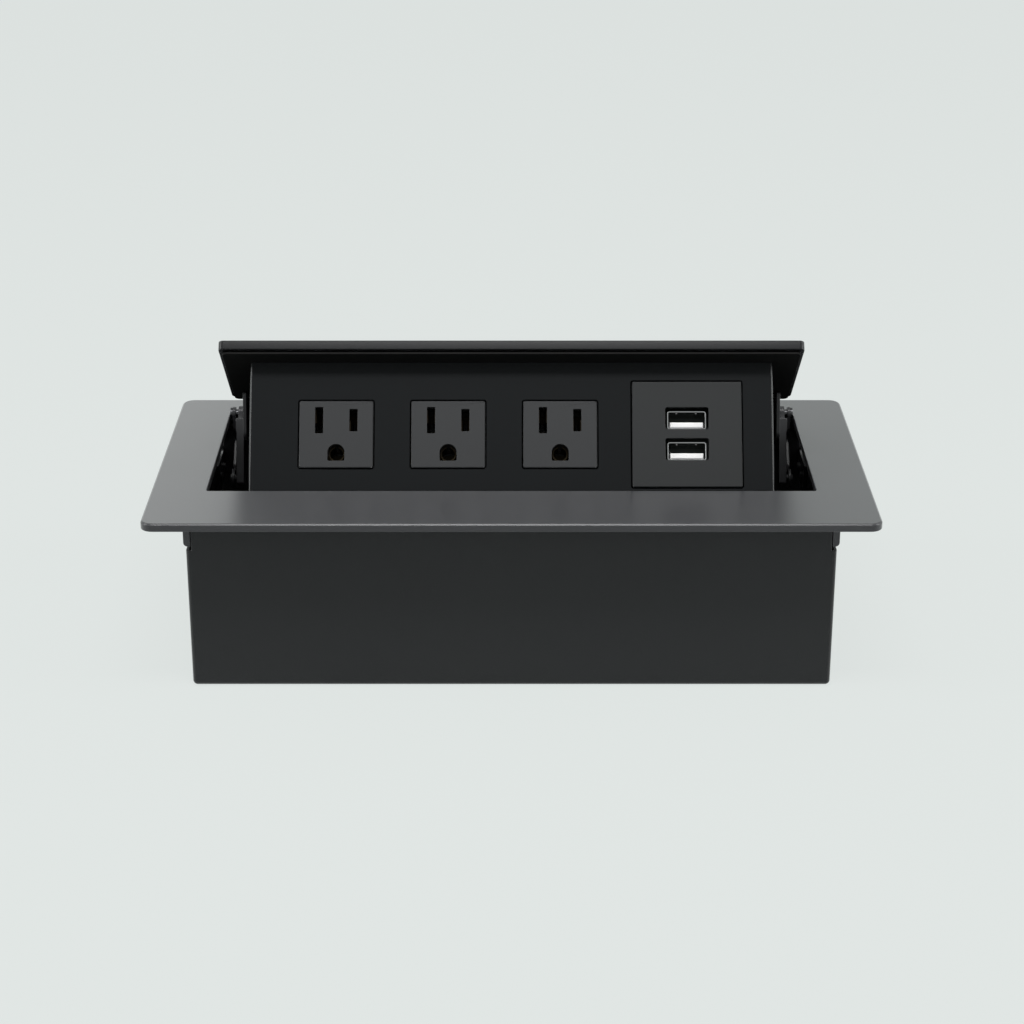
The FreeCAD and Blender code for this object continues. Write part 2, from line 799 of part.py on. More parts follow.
def coil_of_wire(radius, pitch, turns, wire):
    """Coil about the Z axis that starts on the X axis and rises anticlockwise, in short stretches."""
    print("coil least gap to itself", round(pitch - wire, 2))
    count = math.ceil(turns * 4)
    share = turns / count
    helix = Part.makeHelix(pitch, pitch * share, radius)
    rise = pitch / (2 * math.pi * radius)
    stretch = round_wire(Part.Wire(helix.Edges), vec(radius, 0, 0), vec(0, 1, rise), wire)
    stretches = []
    for k in range(count):
        copy = stretch.copy()
        copy.rotate(ORIGIN, vec(0, 0, 1), 360 * share * k)
        copy.translate(vec(0, 0, pitch * share * k))
        stretches.append(copy)
    return fuse_all(stretches)


def wire_leg(start, along, wire):
    """Straight leg with a rounded bend at its start."""
    bend = Part.makeSphere(wire / 2 + spring_bend_swell, start)
    return bend, rod(wire / 2, start, start + along)


def torsion_spring():
    """Coil on the hinge pin: one leg behind the rivet, one under the frame's rear edge."""
    first_x = gusset_outer + spring_side_gap + spring_wire / 2
    last_x = arm_inner - spring_side_gap - spring_wire / 2
    moving = vec(0, rivet_point[0] - axis_y, rivet_point[1] - axis_z).normalize()
    drop = frame_thickness + axis_over_frame
    to_edge = math.hypot(axis_inside_rear_edge, drop)
    reach = spring_mean_radius - spring_wire / 2 - spring_bearing_gap
    fall = math.atan2(drop, axis_inside_rear_edge) - math.asin(reach / to_edge)
    fixed = vec(0, math.cos(fall), -math.sin(fall))
    start = math.atan2(moving.y, -moving.z)
    sweep = (math.atan2(-fixed.y, fixed.z) - start) % (2 * math.pi) + 2 * math.pi
    turns = sweep / (2 * math.pi)
    spring = coil_of_wire(spring_mean_radius, (last_x - first_x) / turns, turns, spring_wire)
    # The coil's axis is laid along X and its start is turned to meet the moving leg
    spring.rotate(ORIGIN, vec(1, 1, 1), 120)
    spring.rotate(ORIGIN, X_AXIS, math.degrees(start))
    spring.translate(vec(first_x, axis_y, axis_z))
    ends = [(first_x, start, moving * spring_moving_leg), (last_x, start + sweep, fixed * spring_fixed_leg)]
    for x, angle, along in ends:
        out = vec(0, math.cos(angle), math.sin(angle)) * spring_mean_radius
        end = vec(x, axis_y, axis_z) + out
        for piece in wire_leg(end, along, spring_wire):
            spring = spring.fuse(piece)
    return spring.removeSplitter()


def lid_outline(inset):
    """Plan of the lid: wide front part and a narrower tail between the hinges."""
    half = lid_half - inset
    tail = tail_half - inset
    front = lid_front + inset
    step = lid_wide_end - inset
    end = lid_tail_end - inset
    right = [(half, front), (half, step), (tail, step), (tail, end)]
    return right + [(-x, y) for x, y in reversed(right)]


outside = lid_corner_radius
inside = lid_inner_corner_radius
lid_radii = [outside, outside, inside, outside, outside, inside, outside, outside]


def lid_screw_points():
    """Places of the lid's screws, with how much each one clamps below the lid."""
    points = [(side * gusset_screw_x, y, gusset_flange_thickness)
              for y in gusset_screw_ys for side in (-1, 1)]
    return points + [(x, shell_screw_y, shell_wall) for x in shell_screw_xs]


def lid_plate():
    """Thick cover plate with softened edges."""
    plate = plan_slab(lid_outline(0), lid_radii, lid_plate_bottom, lid_top)
    plate = soften(plate, lid_edge_round, lambda e: level(e, lid_top))
    plate = soften(plate, lid_edge_round * 0.6, lambda e: level(e, lid_plate_bottom))
    top = lid_plate_bottom + lid_screw_depth + 0.2
    holes = [rod_z(screw_radius + screw_clearance, lid_plate_bottom - 1, top, x, y)
             for x, y, clamped in lid_screw_points()]
    return opened(cut_all(plate, holes))


def lid_liner():
    """Thin plate under the lid, with a raised core that leaves the shadow gap."""
    plate = plan_slab(lid_outline(liner_inset), lid_radii, lid_under, lid_under + liner_thickness)
    core = plan_slab(lid_outline(liner_inset + shadow_gap_depth), inside, lid_under, lid_plate_bottom)
    holes = [rod_z(screw_radius + free_clearance, lid_under - 1, lid_plate_bottom + 1, x, y)
             for x, y, clamped in lid_screw_points()]
    return opened(cut_all(fuse_all([plate, core]), holes))


def lid_screws():
    """Screws that hold the side plates and the cartridge body to the lid."""
    tip = lid_plate_bottom + lid_screw_depth
    return [opened(screw(vec(x, y, tip), vec(x, y, lid_under - clamped)))
            for x, y, clamped in lid_screw_points()]


def down_rect(cx, down, width, height):
    """Rectangle on the upright panel, given by its centre across and down from the top edge."""
    return rect(cx - width / 2, cx + width / 2, -down - height / 2, -down + height / 2)


def front_panel():
    """Plate with rounded upright edges and a window for each insert."""
    plate = block(-panel_half, panel_half, 0, panel_thickness, -panel_height, 0)
    plate = soften(plate, panel_edge_round, lambda e: flush(e, 0) and e.BoundBox.XLength < 1e-4)
    tools = []
    window = [size + 2 * outlet_gap for size in (outlet_width, outlet_height)]
    for cx in outlet_centres:
        outline = down_rect(cx, row_centre_down, *window)
        tools.append(face_slab(outline, outlet_corner_radius + outlet_gap, -1, panel_thickness + 1))
    window = [size + 2 * charger_gap for size in (charger_width, charger_height)]
    outline = down_rect(charger_x, row_centre_down, *window)
    tools.append(face_slab(outline, charger_plate_radius + charger_gap, -1, panel_thickness + 1))
    # The top edge is cut level so that it meets the lid's underside
    wedge = block(-panel_half - 1, panel_half + 1, -5, 10, 0, 5)
    wedge.rotate(ORIGIN, X_AXIS, -panel_undercut)
    return on_panel(cut_all(plate, tools + [wedge]))


def body_outline(inset, front_cut=0.0):
    """Side view of the cartridge body with the lid level, behind the panel."""
    slope = math.tan(undercut)
    back = panel_top_y + panel_thickness / math.cos(undercut)
    top = lid_under - inset
    low = shell_bottom + inset
    rear = shell_rear - inset
    front_top = back + inset * slope
    front_low = back + (lid_under - low) * slope
    return [
        (front_top - front_cut, top),
        (rear, top),
        (rear, shell_bottom + shell_chamfer_height),
        (front_low + shell_bottom_depth, low),
        (front_low - front_cut, low),
    ]


def body_profile(inset, x0, x1, front_cut=0.0):
    """Slab of the cartridge body's side view."""
    r = max(shell_corner_radius - inset, 0.4)
    return side_slab(body_outline(inset, front_cut), [0, r, r, r, 0], x0, x1)


def cartridge_shell():
    """Top, rear and bottom walls of the cartridge, open to the panel and at both ends."""
    body = body_profile(0, -shell_half, shell_half)
    body = body.cut(body_profile(shell_wall, -shell_half - 1, shell_half + 1, 4.0))
    holes = [rod_z(screw_radius + free_clearance, lid_under - shell_wall - 1, lid_under + 1, x, shell_screw_y)
             for x in shell_screw_xs]
    holes.append(rod_y(bush_hole_radius, shell_rear - shell_wall - 1, shell_rear + 1, cord_x, bush_z))
    return opened(cut_all(body, holes))


def end_cap():
    """End plate with a rib that fits inside the body's walls."""
    cap = body_profile(0, shell_half, panel_half)
    outer_face = lambda e: abs(e.BoundBox.XMin - panel_half) < 1e-4 and e.BoundBox.XLength < 1e-4
    cap = soften(cap, cap_bevel, outer_face, bevel=True)
    root = shell_half + 0.5
    rib = body_profile(shell_wall + cap_rib_gap, shell_half - cap_rib_depth, root)
    inner = shell_wall + cap_rib_gap + cap_rib_thickness
    hollow = body_profile(inner, shell_half - cap_rib_depth - 1, shell_half, 4.0)
    return opened(fuse_all([cap, rib.cut(hollow)]))


def ground_hole(cx, y0, y1):
    """Ground hole: round top and flat bottom."""
    half = ground_width / 2
    low = -ground_down - ground_height / 2
    turn = low + ground_height - half
    corner = ground_corner_radius
    near = corner * (1 - math.sqrt(0.5))

    def at(x, z):
        return vec(cx + x, y0, z)
    edges = [
        Part.LineSegment(at(corner - half, low), at(half - corner, low)).toShape(),
        Part.Arc(at(half - corner, low), at(half - near, low + near), at(half, low + corner)).toShape(),
        Part.LineSegment(at(half, low + corner), at(half, turn)).toShape(),
        Part.Arc(at(half, turn), at(0, turn + half), at(-half, turn)).toShape(),
        Part.LineSegment(at(-half, turn), at(-half, low + corner)).toShape(),
        Part.Arc(at(-half, low + corner), at(near - half, low + near), at(corner - half, low)).toShape(),
    ]
    return Part.Face(Part.Wire(edges)).extrude(vec(0, y1 - y0, 0))


def outlet(cx):
    """One outlet: a raised face with two blade slots and a ground hole, on a hollow body."""
    front = -outlet_proud
    back = front + outlet_face_thickness
    outline = down_rect(cx, row_centre_down, outlet_width, outlet_height)
    face = face_slab(outline, outlet_corner_radius, front, back)
    face = soften(face, outlet_edge_bevel, lambda e: flush(e, front), bevel=True)
    skirt = face_slab(outline, outlet_corner_radius, back, outlet_depth)
    inner = down_rect(cx, row_centre_down, outlet_width - 2 * outlet_wall, outlet_height - 2 * outlet_wall)
    skirt = skirt.cut(face_slab(inner, 0.4, back, outlet_depth + 1))
    tools = [ground_hole(cx, front - 1, back + 0.5)]
    for side, height in ((-1, neutral_slot_height), (1, line_slot_height)):
        slot = down_rect(cx + side * blade_spacing / 2, slots_down, slot_width, height)
        tools.append(face_slab(slot, slot_corner_radius, front - 1, back + 0.5))
    return on_panel(cut_all(fuse_all([face, skirt]), tools))


def blade_strip(side):
    """Contact strip behind one row of blade slots, with a pair of spring fingers per outlet."""
    strip_z = -slots_down - side * strip_stagger
    low = -slots_down - side * finger_stagger - finger_height / 2
    high = low + finger_height
    tip_y = strip_y - finger_length
    half = strip_height / 2
    parts = [block(strip_left, strip_right, strip_y, carrier_y, strip_z - half, strip_z + half)]
    for cx in outlet_centres:
        x = cx + side * blade_spacing / 2
        for way in (-1, 1):
            near = x + way * finger_gap / 2
            far = near + way * finger_thickness
            parts.append(block(min(near, far), max(near, far), tip_y, strip_y + finger_root, low, high))
            flare_y = tip_y - finger_flare_length
            outline = [(near, tip_y), (far, tip_y), (far + way * finger_flare, flare_y),
                       (near + way * finger_flare, flare_y)]
            parts.append(plan_slab(outline, 0, low, high))
    return on_panel(fuse_all(parts))


def ground_strip():
    """Contact strip behind the ground holes, with a split cup per outlet."""
    z = -ground_down
    parts = [block(strip_left, strip_right, strip_y, carrier_y, z - strip_height / 2, z + strip_height / 2)]
    mouth = strip_y - finger_length
    for cx in outlet_centres:
        cup = rod_y(ground_cup_radius, mouth, strip_y + finger_root, cx, z)
        cup = cup.cut(rod_y(ground_cup_radius - ground_cup_wall, mouth - 1, strip_y + 1, cx, z))
        reach = ground_cup_radius + 1
        half = ground_cup_split / 2
        parts.append(cup.cut(block(cx - half, cx + half, mouth - 1, strip_y - 1.5, z - reach, z + reach)))
    return on_panel(fuse_all(parts))


carrier_left = strip_left - carrier_margin
carrier_right = strip_right + carrier_margin


def contact_carrier():
    """Insulating back plate that carries the contact strips, on posts behind the panel."""
    top = outlet_height / 2 - row_centre_down
    outline = rect(carrier_left, carrier_right, top - outlet_height, top)
    parts = [face_slab(outline, carrier_corner_radius, carrier_y, carrier_y + carrier_thickness)]
    post_down = (slots_down + strip_stagger + ground_down) / 2
    inset = carrier_post_width / 2 + carrier_post_margin
    posts = [cx - outlet_pitch / 2 for cx in outlet_centres[1:]]
    for x in posts + [carrier_left + inset, carrier_right - inset]:
        outline = down_rect(x, post_down, carrier_post_width, carrier_post_height)
        radius = min(carrier_post_radius, carrier_post_width / 3)
        parts.append(face_slab(outline, radius, panel_thickness, carrier_y + 0.1))
    return on_panel(fuse_all(parts))


def terminal_block():
    """Terminal block on the back of the contact carrier."""
    back = carrier_y + carrier_thickness
    middle = (carrier_left + carrier_right) / 2
    outline = down_rect(middle, row_centre_down, terminal_ways * terminal_pitch, terminal_height)
    tools = []
    for k in range(terminal_ways):
        x = middle + (k - (terminal_ways - 1) / 2) * terminal_pitch
        wire_y = back + terminal_depth / 2
        ends = [-row_centre_down + way * (terminal_height / 2 + 1) for way in (-1, 1)]
        tools.append(rod_z(terminal_bore_radius, *ends, x, wire_y))
        tools.append(rod_y(terminal_screw_radius, wire_y, back + terminal_depth + 1, x, -row_centre_down))
    return on_panel(cut_all(face_slab(outline, 0.6, back, back + terminal_depth), tools))


def charger_plate():
    """Square cover plate with two port windows."""
    front = -charger_proud
    outline = down_rect(charger_x, row_centre_down, charger_width, charger_height)
    plate = face_slab(outline, charger_plate_radius, front, charger_back)
    plate = soften(plate, charger_plate_bevel, lambda e: flush(e, front), bevel=True)
    windows = []
    for down in port_downs:
        outline = down_rect(charger_x, down, port_width, port_height)
        windows.append(face_slab(outline, port_corner_radius, front - 1, charger_back + 1))
    return on_panel(cut_all(plate, windows))


def charger_case():
    """Back case of the charger, open towards the plate."""
    width = charger_width - 2 * charger_case_inset
    height = charger_height - 2 * charger_case_inset
    wall = charger_case_wall
    end = charger_back + charger_case_depth
    outer = down_rect(charger_x, row_centre_down, width, height)
    body = face_slab(outer, charger_case_radius, charger_back, end)
    inner = down_rect(charger_x, row_centre_down, width - 2 * wall, height - 2 * wall)
    return on_panel(body.cut(face_slab(inner, 0.5, charger_back - 1, end - wall)))


def charger_board():
    """Circuit board behind the ports."""
    inset = charger_case_inset + charger_case_wall + board_gap
    outline = down_rect(charger_x, row_centre_down, charger_width - 2 * inset, charger_height - 2 * inset)
    return on_panel(face_slab(outline, 0.8, shell_end, shell_end + board_thickness))


def port_floor(down):
    """Height of the inner floor of a port shell on the upright panel."""
    return -down - port_shell_drop - port_shell_height / 2 + port_shell_wall


def port_shell(down):
    """Metal port shell with rounded corners and two spring dimples in its roof."""
    wall = port_shell_wall
    outer = down_rect(charger_x, down + port_shell_drop, port_shell_width, port_shell_height)
    inside_size = port_shell_width - 2 * wall, port_shell_height - 2 * wall
    inner = down_rect(charger_x, down + port_shell_drop, *inside_size)
    body = face_slab(outer, port_shell_radius, shell_mouth, shell_end)
    body = body.cut(face_slab(inner, port_shell_radius - wall, shell_mouth - 1, shell_end + 1))
    roof = port_floor(down) + port_shell_height - 2 * wall
    parts = [body]
    for side in (-1, 1):
        place = vec(charger_x + side * dimple_spacing / 2, shell_mouth + dimple_from_mouth, roof + 0.1)
        height = dimple_height + 0.1
        parts.append(Part.makeCone(dimple_radius, dimple_radius * 0.4, height, place, vec(0, 0, -1)))
    return on_panel(fuse_all(parts))


def port_tongue(down):
    """White tongue low in the port shell."""
    low = port_floor(down) + tongue_above_floor
    start = shell_mouth + tongue_recess
    half = tongue_width / 2
    tongue = block(charger_x - half, charger_x + half, start, shell_end, low, low + tongue_thickness)
    return on_panel(soften(tongue, tongue_bevel, lambda e: flush(e, start), bevel=True))


def port_pins():
    """Flat contact strips on each tongue."""
    solids = []
    for down in port_downs:
        low = port_floor(down) + tongue_above_floor + tongue_thickness
        start = shell_mouth + tongue_recess + pin_strip_recess
        for k in range(pin_strip_count):
            x = charger_x + (k - (pin_strip_count - 1) / 2) * pin_strip_pitch - pin_strip_width / 2
            solids.append(on_panel(block(x, x + pin_strip_width, start, start + pin_strip_length, low,
                                         low + pin_strip_thickness)))
    return solids


def cord_grommet():
    """Rubber grommet in the rear wall of the box."""
    out = box_rear + grommet_flange
    inn = bracket_rear - grommet_flange
    body = fuse_all([
        rod_y(grommet_flange_radius, box_rear, out, cord_x, grommet_height),
        rod_y(grommet_hole_radius - rubber_fit, bracket_rear, box_rear, cord_x, grommet_height),
        rod_y(grommet_inner_flange_radius, inn, bracket_rear, cord_x, grommet_height),
    ])
    body = soften(body, grommet_edge_round, lambda e: flush(e, out) or flush(e, inn))
    return body.cut(rod_y(grommet_bore_radius, inn - 1, out + 1, cord_x, grommet_height))


def cord_bush():
    """Smaller bush where the cord enters the cartridge."""
    inner_face = shell_rear - shell_wall
    body = fuse_all([
        rod_y(bush_flange_radius, shell_rear, shell_rear + bush_flange, cord_x, bush_z),
        rod_y(bush_hole_radius - rubber_fit, inner_face, shell_rear, cord_x, bush_z),
        rod_y(bush_inner_flange_radius, inner_face - bush_flange, inner_face, cord_x, bush_z),
    ])
    bore = rod_y(bush_bore_radius, inner_face - bush_flange - 1, shell_rear + bush_flange + 1, cord_x, bush_z)
    return opened(body.cut(bore))


def latch_keeper():
    """Steel plate under the cartridge that the latch holds."""
    half = keeper_length / 2
    outline = rect(-half, half, latch_y - keeper_width / 2, latch_y + keeper_width / 2)
    return opened(plan_slab(outline, 1.0, keeper_bottom, shell_bottom))


def latch_body():
    """Latch housing with two ears and a stepped bore."""
    half = latch_body_size / 2
    body = plan_slab(rect(-half, half, latch_y - half, latch_y + half), 1.5, sheet, latch_top)
    body = soften(body, 0.6, lambda e: level(e, latch_top))
    reach = latch_ear_length / 2
    ear = rect(-reach, reach, latch_y - latch_ear_width / 2, latch_y + latch_ear_width / 2)
    body = fuse_all([body, plan_slab(ear, 2.0, sheet, sheet + latch_ear_thickness)])
    tools = [
        rod_z(latch_bore_radius, sheet + latch_floor, latch_top - latch_lip, 0, latch_y),
        rod_z(plunger_stem_radius + plunger_fit, latch_top - latch_lip - 0.5, latch_top + 1, 0, latch_y),
    ]
    for side in (-1, 1):
        tools.append(rod_z(screw_radius + free_clearance, sheet - 1, sheet + 4,
                           side * latch_screw_x, latch_y))
    return cut_all(body, tools)


def latch_plunger():
    """Sprung plunger with a collar below the housing's lip."""
    return fuse_all([
        rod_z(plunger_collar_radius, collar_bottom, collar_top, 0, latch_y),
        rod_z(plunger_stem_radius, collar_bottom, plunger_head_bottom, 0, latch_y),
    ])


def latch_magnet():
    """Round magnet on the plunger's tip."""
    disc = rod_z(plunger_tip_radius, plunger_head_bottom, plunger_tip, 0, latch_y)
    return soften(disc, 0.3, lambda e: level(e, plunger_tip), bevel=True)


def latch_spring():
    """Compression spring below the plunger's collar."""
    low = sheet + latch_floor + latch_spring_wire / 2 + latch_spring_end_gap
    height = collar_bottom - latch_spring_wire / 2 - latch_spring_end_gap - low
    radius = latch_bore_radius - latch_spring_wire / 2 - latch_spring_side_gap
    coil = coil_of_wire(radius, height / latch_spring_turns, latch_spring_turns, latch_spring_wire)
    coil.translate(vec(0, latch_y, low))
    return coil


def latch_screws():
    seat = sheet + latch_ear_thickness
    return [screw(vec(side * latch_screw_x, latch_y, 0.1), vec(side * latch_screw_x, latch_y, seat),
                  latch_screw_head_radius, latch_screw_head_height) for side in (-1, 1)]


def write(node, shape):
    """Writes one sub-part, one solid or a group of separate solids."""
    if isinstance(shape, list):
        shape = Part.makeCompound(shape)
    solids = shape.Solids
    if not solids or not shape.isValid():
        raise ValueError(node + " is not a valid solid")
    if len(solids) == 1:
        shape = solids[0]
    shape.exportStep("parts/" + node + ".step")
    box = shape.BoundBox
    print(f"{node:22s} solids {len(solids):2d} volume {shape.Volume:9.1f} "
          f"x {box.XMin:7.1f} {box.XMax:7.1f} y {box.YMin:7.1f} {box.YMax:7.1f} "
          f"z {box.ZMin:6.1f} {box.ZMax:6.1f}")


def write_pair(node, shape):
    """Writes a right-hand sub-part and its mirror image."""
    write(node + "_right", shape)
    write(node + "_left", mirrored(shape))


def main():
    os.makedirs("parts", exist_ok=True)
    write("frame", frame_piece())
    write("box_shell", box_piece())
    write("frame_screws", frame_screws())
    write("clamp_nuts", clamp_nuts())
    write_pair("hinge_bracket", hinge_bracket())
    write_pair("hinge_arm", hinge_arm())
    write_pair("hinge_gusset", hinge_gusset())
    write_pair("hinge_pin", hinge_pin())
    write_pair("torsion_spring", torsion_spring())
    rivet = arm_rivet()
    write("arm_rivets", [mirrored(rivet), rivet])
    write("bracket_screws", bracket_screws())
    write("lid_plate", lid_plate())
    write("lid_liner", lid_liner())
    write("lid_screws", lid_screws())
    write("front_panel", front_panel())
    write("cartridge_shell", cartridge_shell())
    write_pair("end_cap", end_cap())
    for number, cx in enumerate(outlet_centres, 1):
        write(f"outlet_{number}", outlet(cx))
    write("neutral_strip", blade_strip(-1))
    write("line_strip", blade_strip(1))
    write("ground_strip", ground_strip())
    write("contact_carrier", contact_carrier())
    write("terminal_block", terminal_block())
    write("charger_plate", charger_plate())
    write("charger_case", charger_case())
    write("charger_board", charger_board())
    for name, down in zip(("upper", "lower"), port_downs):
        write(name + "_port_shell", port_shell(down))
        write(name + "_port_tongue", port_tongue(down))
    write("port_pins", port_pins())
    write("cord_grommet", cord_grommet())
    write("cord_bush", cord_bush())
    write("latch_keeper", latch_keeper())
    write("latch_body", latch_body())
    write("latch_plunger", latch_plunger())
    write("latch_magnet", latch_magnet())
    write("latch_spring", latch_spring())
    write("latch_screws", latch_screws())
    print("hinge axis", round(axis_y, 3), round(axis_z, 3), "swing", tilt)


if __name__ == "__main__":
    main()
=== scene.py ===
import json
import math

import bmesh
import bpy
from bpy.props import FloatProperty, FloatVectorProperty, PointerProperty
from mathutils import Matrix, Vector

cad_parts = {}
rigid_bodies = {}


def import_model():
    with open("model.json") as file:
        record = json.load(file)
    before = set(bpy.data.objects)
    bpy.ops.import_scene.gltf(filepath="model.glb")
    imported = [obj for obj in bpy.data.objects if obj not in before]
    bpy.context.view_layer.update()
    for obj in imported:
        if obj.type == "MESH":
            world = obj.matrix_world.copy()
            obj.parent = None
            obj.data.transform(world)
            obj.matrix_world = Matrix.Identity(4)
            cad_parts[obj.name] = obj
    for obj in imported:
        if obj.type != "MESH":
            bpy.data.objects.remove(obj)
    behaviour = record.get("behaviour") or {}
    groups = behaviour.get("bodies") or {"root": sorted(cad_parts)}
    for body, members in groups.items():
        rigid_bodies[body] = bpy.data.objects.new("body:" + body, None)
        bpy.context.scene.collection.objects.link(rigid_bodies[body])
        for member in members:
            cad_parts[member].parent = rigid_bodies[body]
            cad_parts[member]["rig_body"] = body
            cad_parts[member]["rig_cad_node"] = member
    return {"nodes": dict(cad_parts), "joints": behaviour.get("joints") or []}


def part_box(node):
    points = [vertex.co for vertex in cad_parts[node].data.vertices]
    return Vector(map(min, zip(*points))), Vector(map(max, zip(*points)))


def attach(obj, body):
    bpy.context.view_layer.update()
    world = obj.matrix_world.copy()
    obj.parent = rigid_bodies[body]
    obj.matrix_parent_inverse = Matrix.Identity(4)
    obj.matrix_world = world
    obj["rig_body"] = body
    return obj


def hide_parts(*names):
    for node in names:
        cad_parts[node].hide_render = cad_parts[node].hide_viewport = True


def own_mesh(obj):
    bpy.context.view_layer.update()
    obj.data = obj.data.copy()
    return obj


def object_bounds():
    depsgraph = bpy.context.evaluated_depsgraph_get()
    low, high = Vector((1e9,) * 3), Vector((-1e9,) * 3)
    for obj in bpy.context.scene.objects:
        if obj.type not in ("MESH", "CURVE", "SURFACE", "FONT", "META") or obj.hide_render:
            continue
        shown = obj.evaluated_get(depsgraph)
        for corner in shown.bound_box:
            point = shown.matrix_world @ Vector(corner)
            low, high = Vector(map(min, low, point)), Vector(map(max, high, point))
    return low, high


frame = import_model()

bl_info = {
    "name": "Desktop power module",
    "version": (1, 0, 0),
    "blender": (4, 5, 0),
    "location": "3D View > Sidebar > Power module",
    "description": "Finishes, fasteners and studio for a tilt-up table socket box",
    "category": "Object",
}

CAD_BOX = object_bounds()
HOUSING = "housing"
CARTRIDGE = "cartridge"
JOINTS = {joint["name"]: joint for joint in frame["joints"]}
SWING = math.radians(JOINTS["cartridge_tilt"]["range_deg"][1])

SAME_POINT = 1e-6        # points nearer than this are one
FLAT_ENOUGH = 0.6        # degrees between faces that are merged
MOULDED_CORNER = 40.0    # degrees from which an edge of plates and moulded pieces is rounded
SMOOTH_ANGLE = 35.0      # degrees up to which neighbouring faces are shaded as one

NOISE_MIDDLE = 0.5
CLOUD_SCALE = 14.0
METAL_TONE_CHANGE = 0.25
DRAWN_STRETCH = (0.06, 1.0, 1.0)

RELIEF_DISTANCE = 0.0001
RIM_BLEND = 0.5
RIM_START, RIM_GAIN = -0.3, 1.8
RIM_GLOSS = 0.18
RIM_IOR = 1.7

HEAD_SIDES, SHANK_SIDES = 32, 20
FACES_UP = 0.9           # least rise of the normal of a head's top face
HEAD_ROUND_SHARE, HEAD_ROUND_STEPS = 0.45, 5
RECESS_SPAN = 1.25       # length of the recess over the head's radius
SECOND_CUT_DEEPER = 1.01
ROOT_SHARE, CREST_SHARE = 0.8, 0.98
SHANK_IN_HEAD = 0.0002

SENSOR_WIDTH = 36.0
FLOOR_SIZE, FLOOR_GAP = 14.0, 0.0002
FLOOR_SHARE = 0.93       # plain colour of the floor, against lit colour that takes the shadow
LEFT_OVER_RIGHT = 1.15


def tint(name, description, value):
    """Colour property with its default."""
    return FloatVectorProperty(name=name, description=description, default=value, size=3,
                               min=0.0, max=1.0, subtype="COLOR")


def length(name, description, value):
    """Length property in metres."""
    return FloatProperty(name=name, description=description, default=value, min=0.0,
                         precision=5, subtype="DISTANCE", unit="LENGTH")


def number(name, description, value, low=0.0, high=1.0):
    """Plain number property."""
    return FloatProperty(name=name, description=description, default=value, min=low, max=high, precision=3)


def power(name, description, value):
    """Power property of a light."""
    return FloatProperty(name=name, description=description, default=value, min=0.0, unit="POWER")


class ModuleFinish(bpy.types.PropertyGroup):
    """Colours and gloss of the paints and plastics"""
    frame_colour: tint("Frame", "Paint of the surface frame", (0.033, 0.0335, 0.037))
    # Painted shade: the lid has the frame's paint, given a darker colour here to dim its front face, which
    # the top light catches.
    lid_colour_painted_shade: tint("Lid", "Paint of the lid plate", (0.0115, 0.012, 0.013))
    liner_colour: tint("Liner", "Plastic of the liner under the lid", (0.005, 0.005, 0.005))
    box_colour: tint("Box", "Paint of the box below the frame", (0.018, 0.019, 0.020))
    panel_colour: tint("Panel", "Front panel and cartridge body", (0.0062, 0.007, 0.0077))
    outlet_colour: tint("Outlets", "Plastic of the outlets", (0.0232, 0.024, 0.0256))
    charger_colour: tint("Charger", "Plastic of the charger's cover plate", (0.0108, 0.0118, 0.0126))
    hinge_colour: tint("Hinges", "Paint of arms, side plates and brackets", (0.020, 0.020, 0.022))
    frame_gloss: number("Frame roughness", "Roughness of the frame's paint", 0.3)
    lid_gloss: number("Lid roughness", "Roughness of the lid's paint", 0.3)
    box_gloss: number("Box roughness", "Roughness of the box's paint", 0.55)
    plastic_gloss: number("Plastic roughness", "Roughness of the moulded pieces", 0.5)


class ModuleEdges(bpy.types.PropertyGroup):
    """Radii of the softened edges"""
    sheet_edge: length("Sheet edge", "Radius on the edges of painted sheet metal", 0.00022)
    plate_edge: length("Plate edge", "Radius on the edges of the frame and the lid", 0.0002)
    plastic_edge: length("Plastic edge", "Radius on the edges of moulded pieces", 0.00016)
    fine_edge: length("Fine edge", "Radius on the edges of the metal port shells", 0.00005)


class ModuleScrews(bpy.types.PropertyGroup):
    """Sizes of the cross-recess screws"""
    head_radius: length("Head radius", "Radius of a pan head", 0.0025)
    head_height: length("Head height", "Height of a pan head", 0.0016)
    small_head_radius: length("Small head radius", "Radius of the latch screws' heads", 0.0022)
    small_head_height: length("Small head height", "Height of the latch screws' heads", 0.0014)
    shank_radius: length("Shank radius", "Outer radius of the thread", 0.00125)
    recess_width: length("Recess width", "Width of one arm of the cross recess", 0.0006)
    recess_depth: length("Recess depth", "Depth of the cross recess", 0.0009)
    thread_pitch: length("Thread pitch", "Distance from one thread turn to the next", 0.0005)


class ModuleStudio(bpy.types.PropertyGroup):
    """Camera, lights and background"""
    camera_back: length("Camera distance", "How far in front of the frame's middle the camera stands", 0.8617)
    camera_height: length("Camera height", "Height of the camera over the floor", 0.40607)
    camera_side: length("Camera offset", "How far to the right the camera stands", 0.0002)
    camera_down: FloatProperty(name="Camera pitch", description="How far the camera looks down",
                               default=math.radians(22.525), subtype="ANGLE", unit="ROTATION")
    lens: FloatProperty(name="Lens", description="Focal length on a 36 mm sensor", default=85.49,
                        min=10, unit="CAMERA")
    background: tint("Background", "Colour of floor and backdrop", (0.737, 0.776, 0.761))
    top_power: power("Top light", "Power of the light above", 9.4)
    back_power: power("Back light", "Power of the light behind the part", 2.6)
    side_power: power("Side lights", "Power of the right light; the left one is a little stronger", 5.0)
    front_power: power("Front light", "Power of the light over the camera", 0.5)
    ambient: number("Ambient", "Strength of the world's soft light", 0.37, 0.0, 5.0)


SKIN_OUTPUTS = (("Colour", "NodeSocketColor"), ("Roughness", "NodeSocketFloat"),
                ("Height", "NodeSocketFloat"))


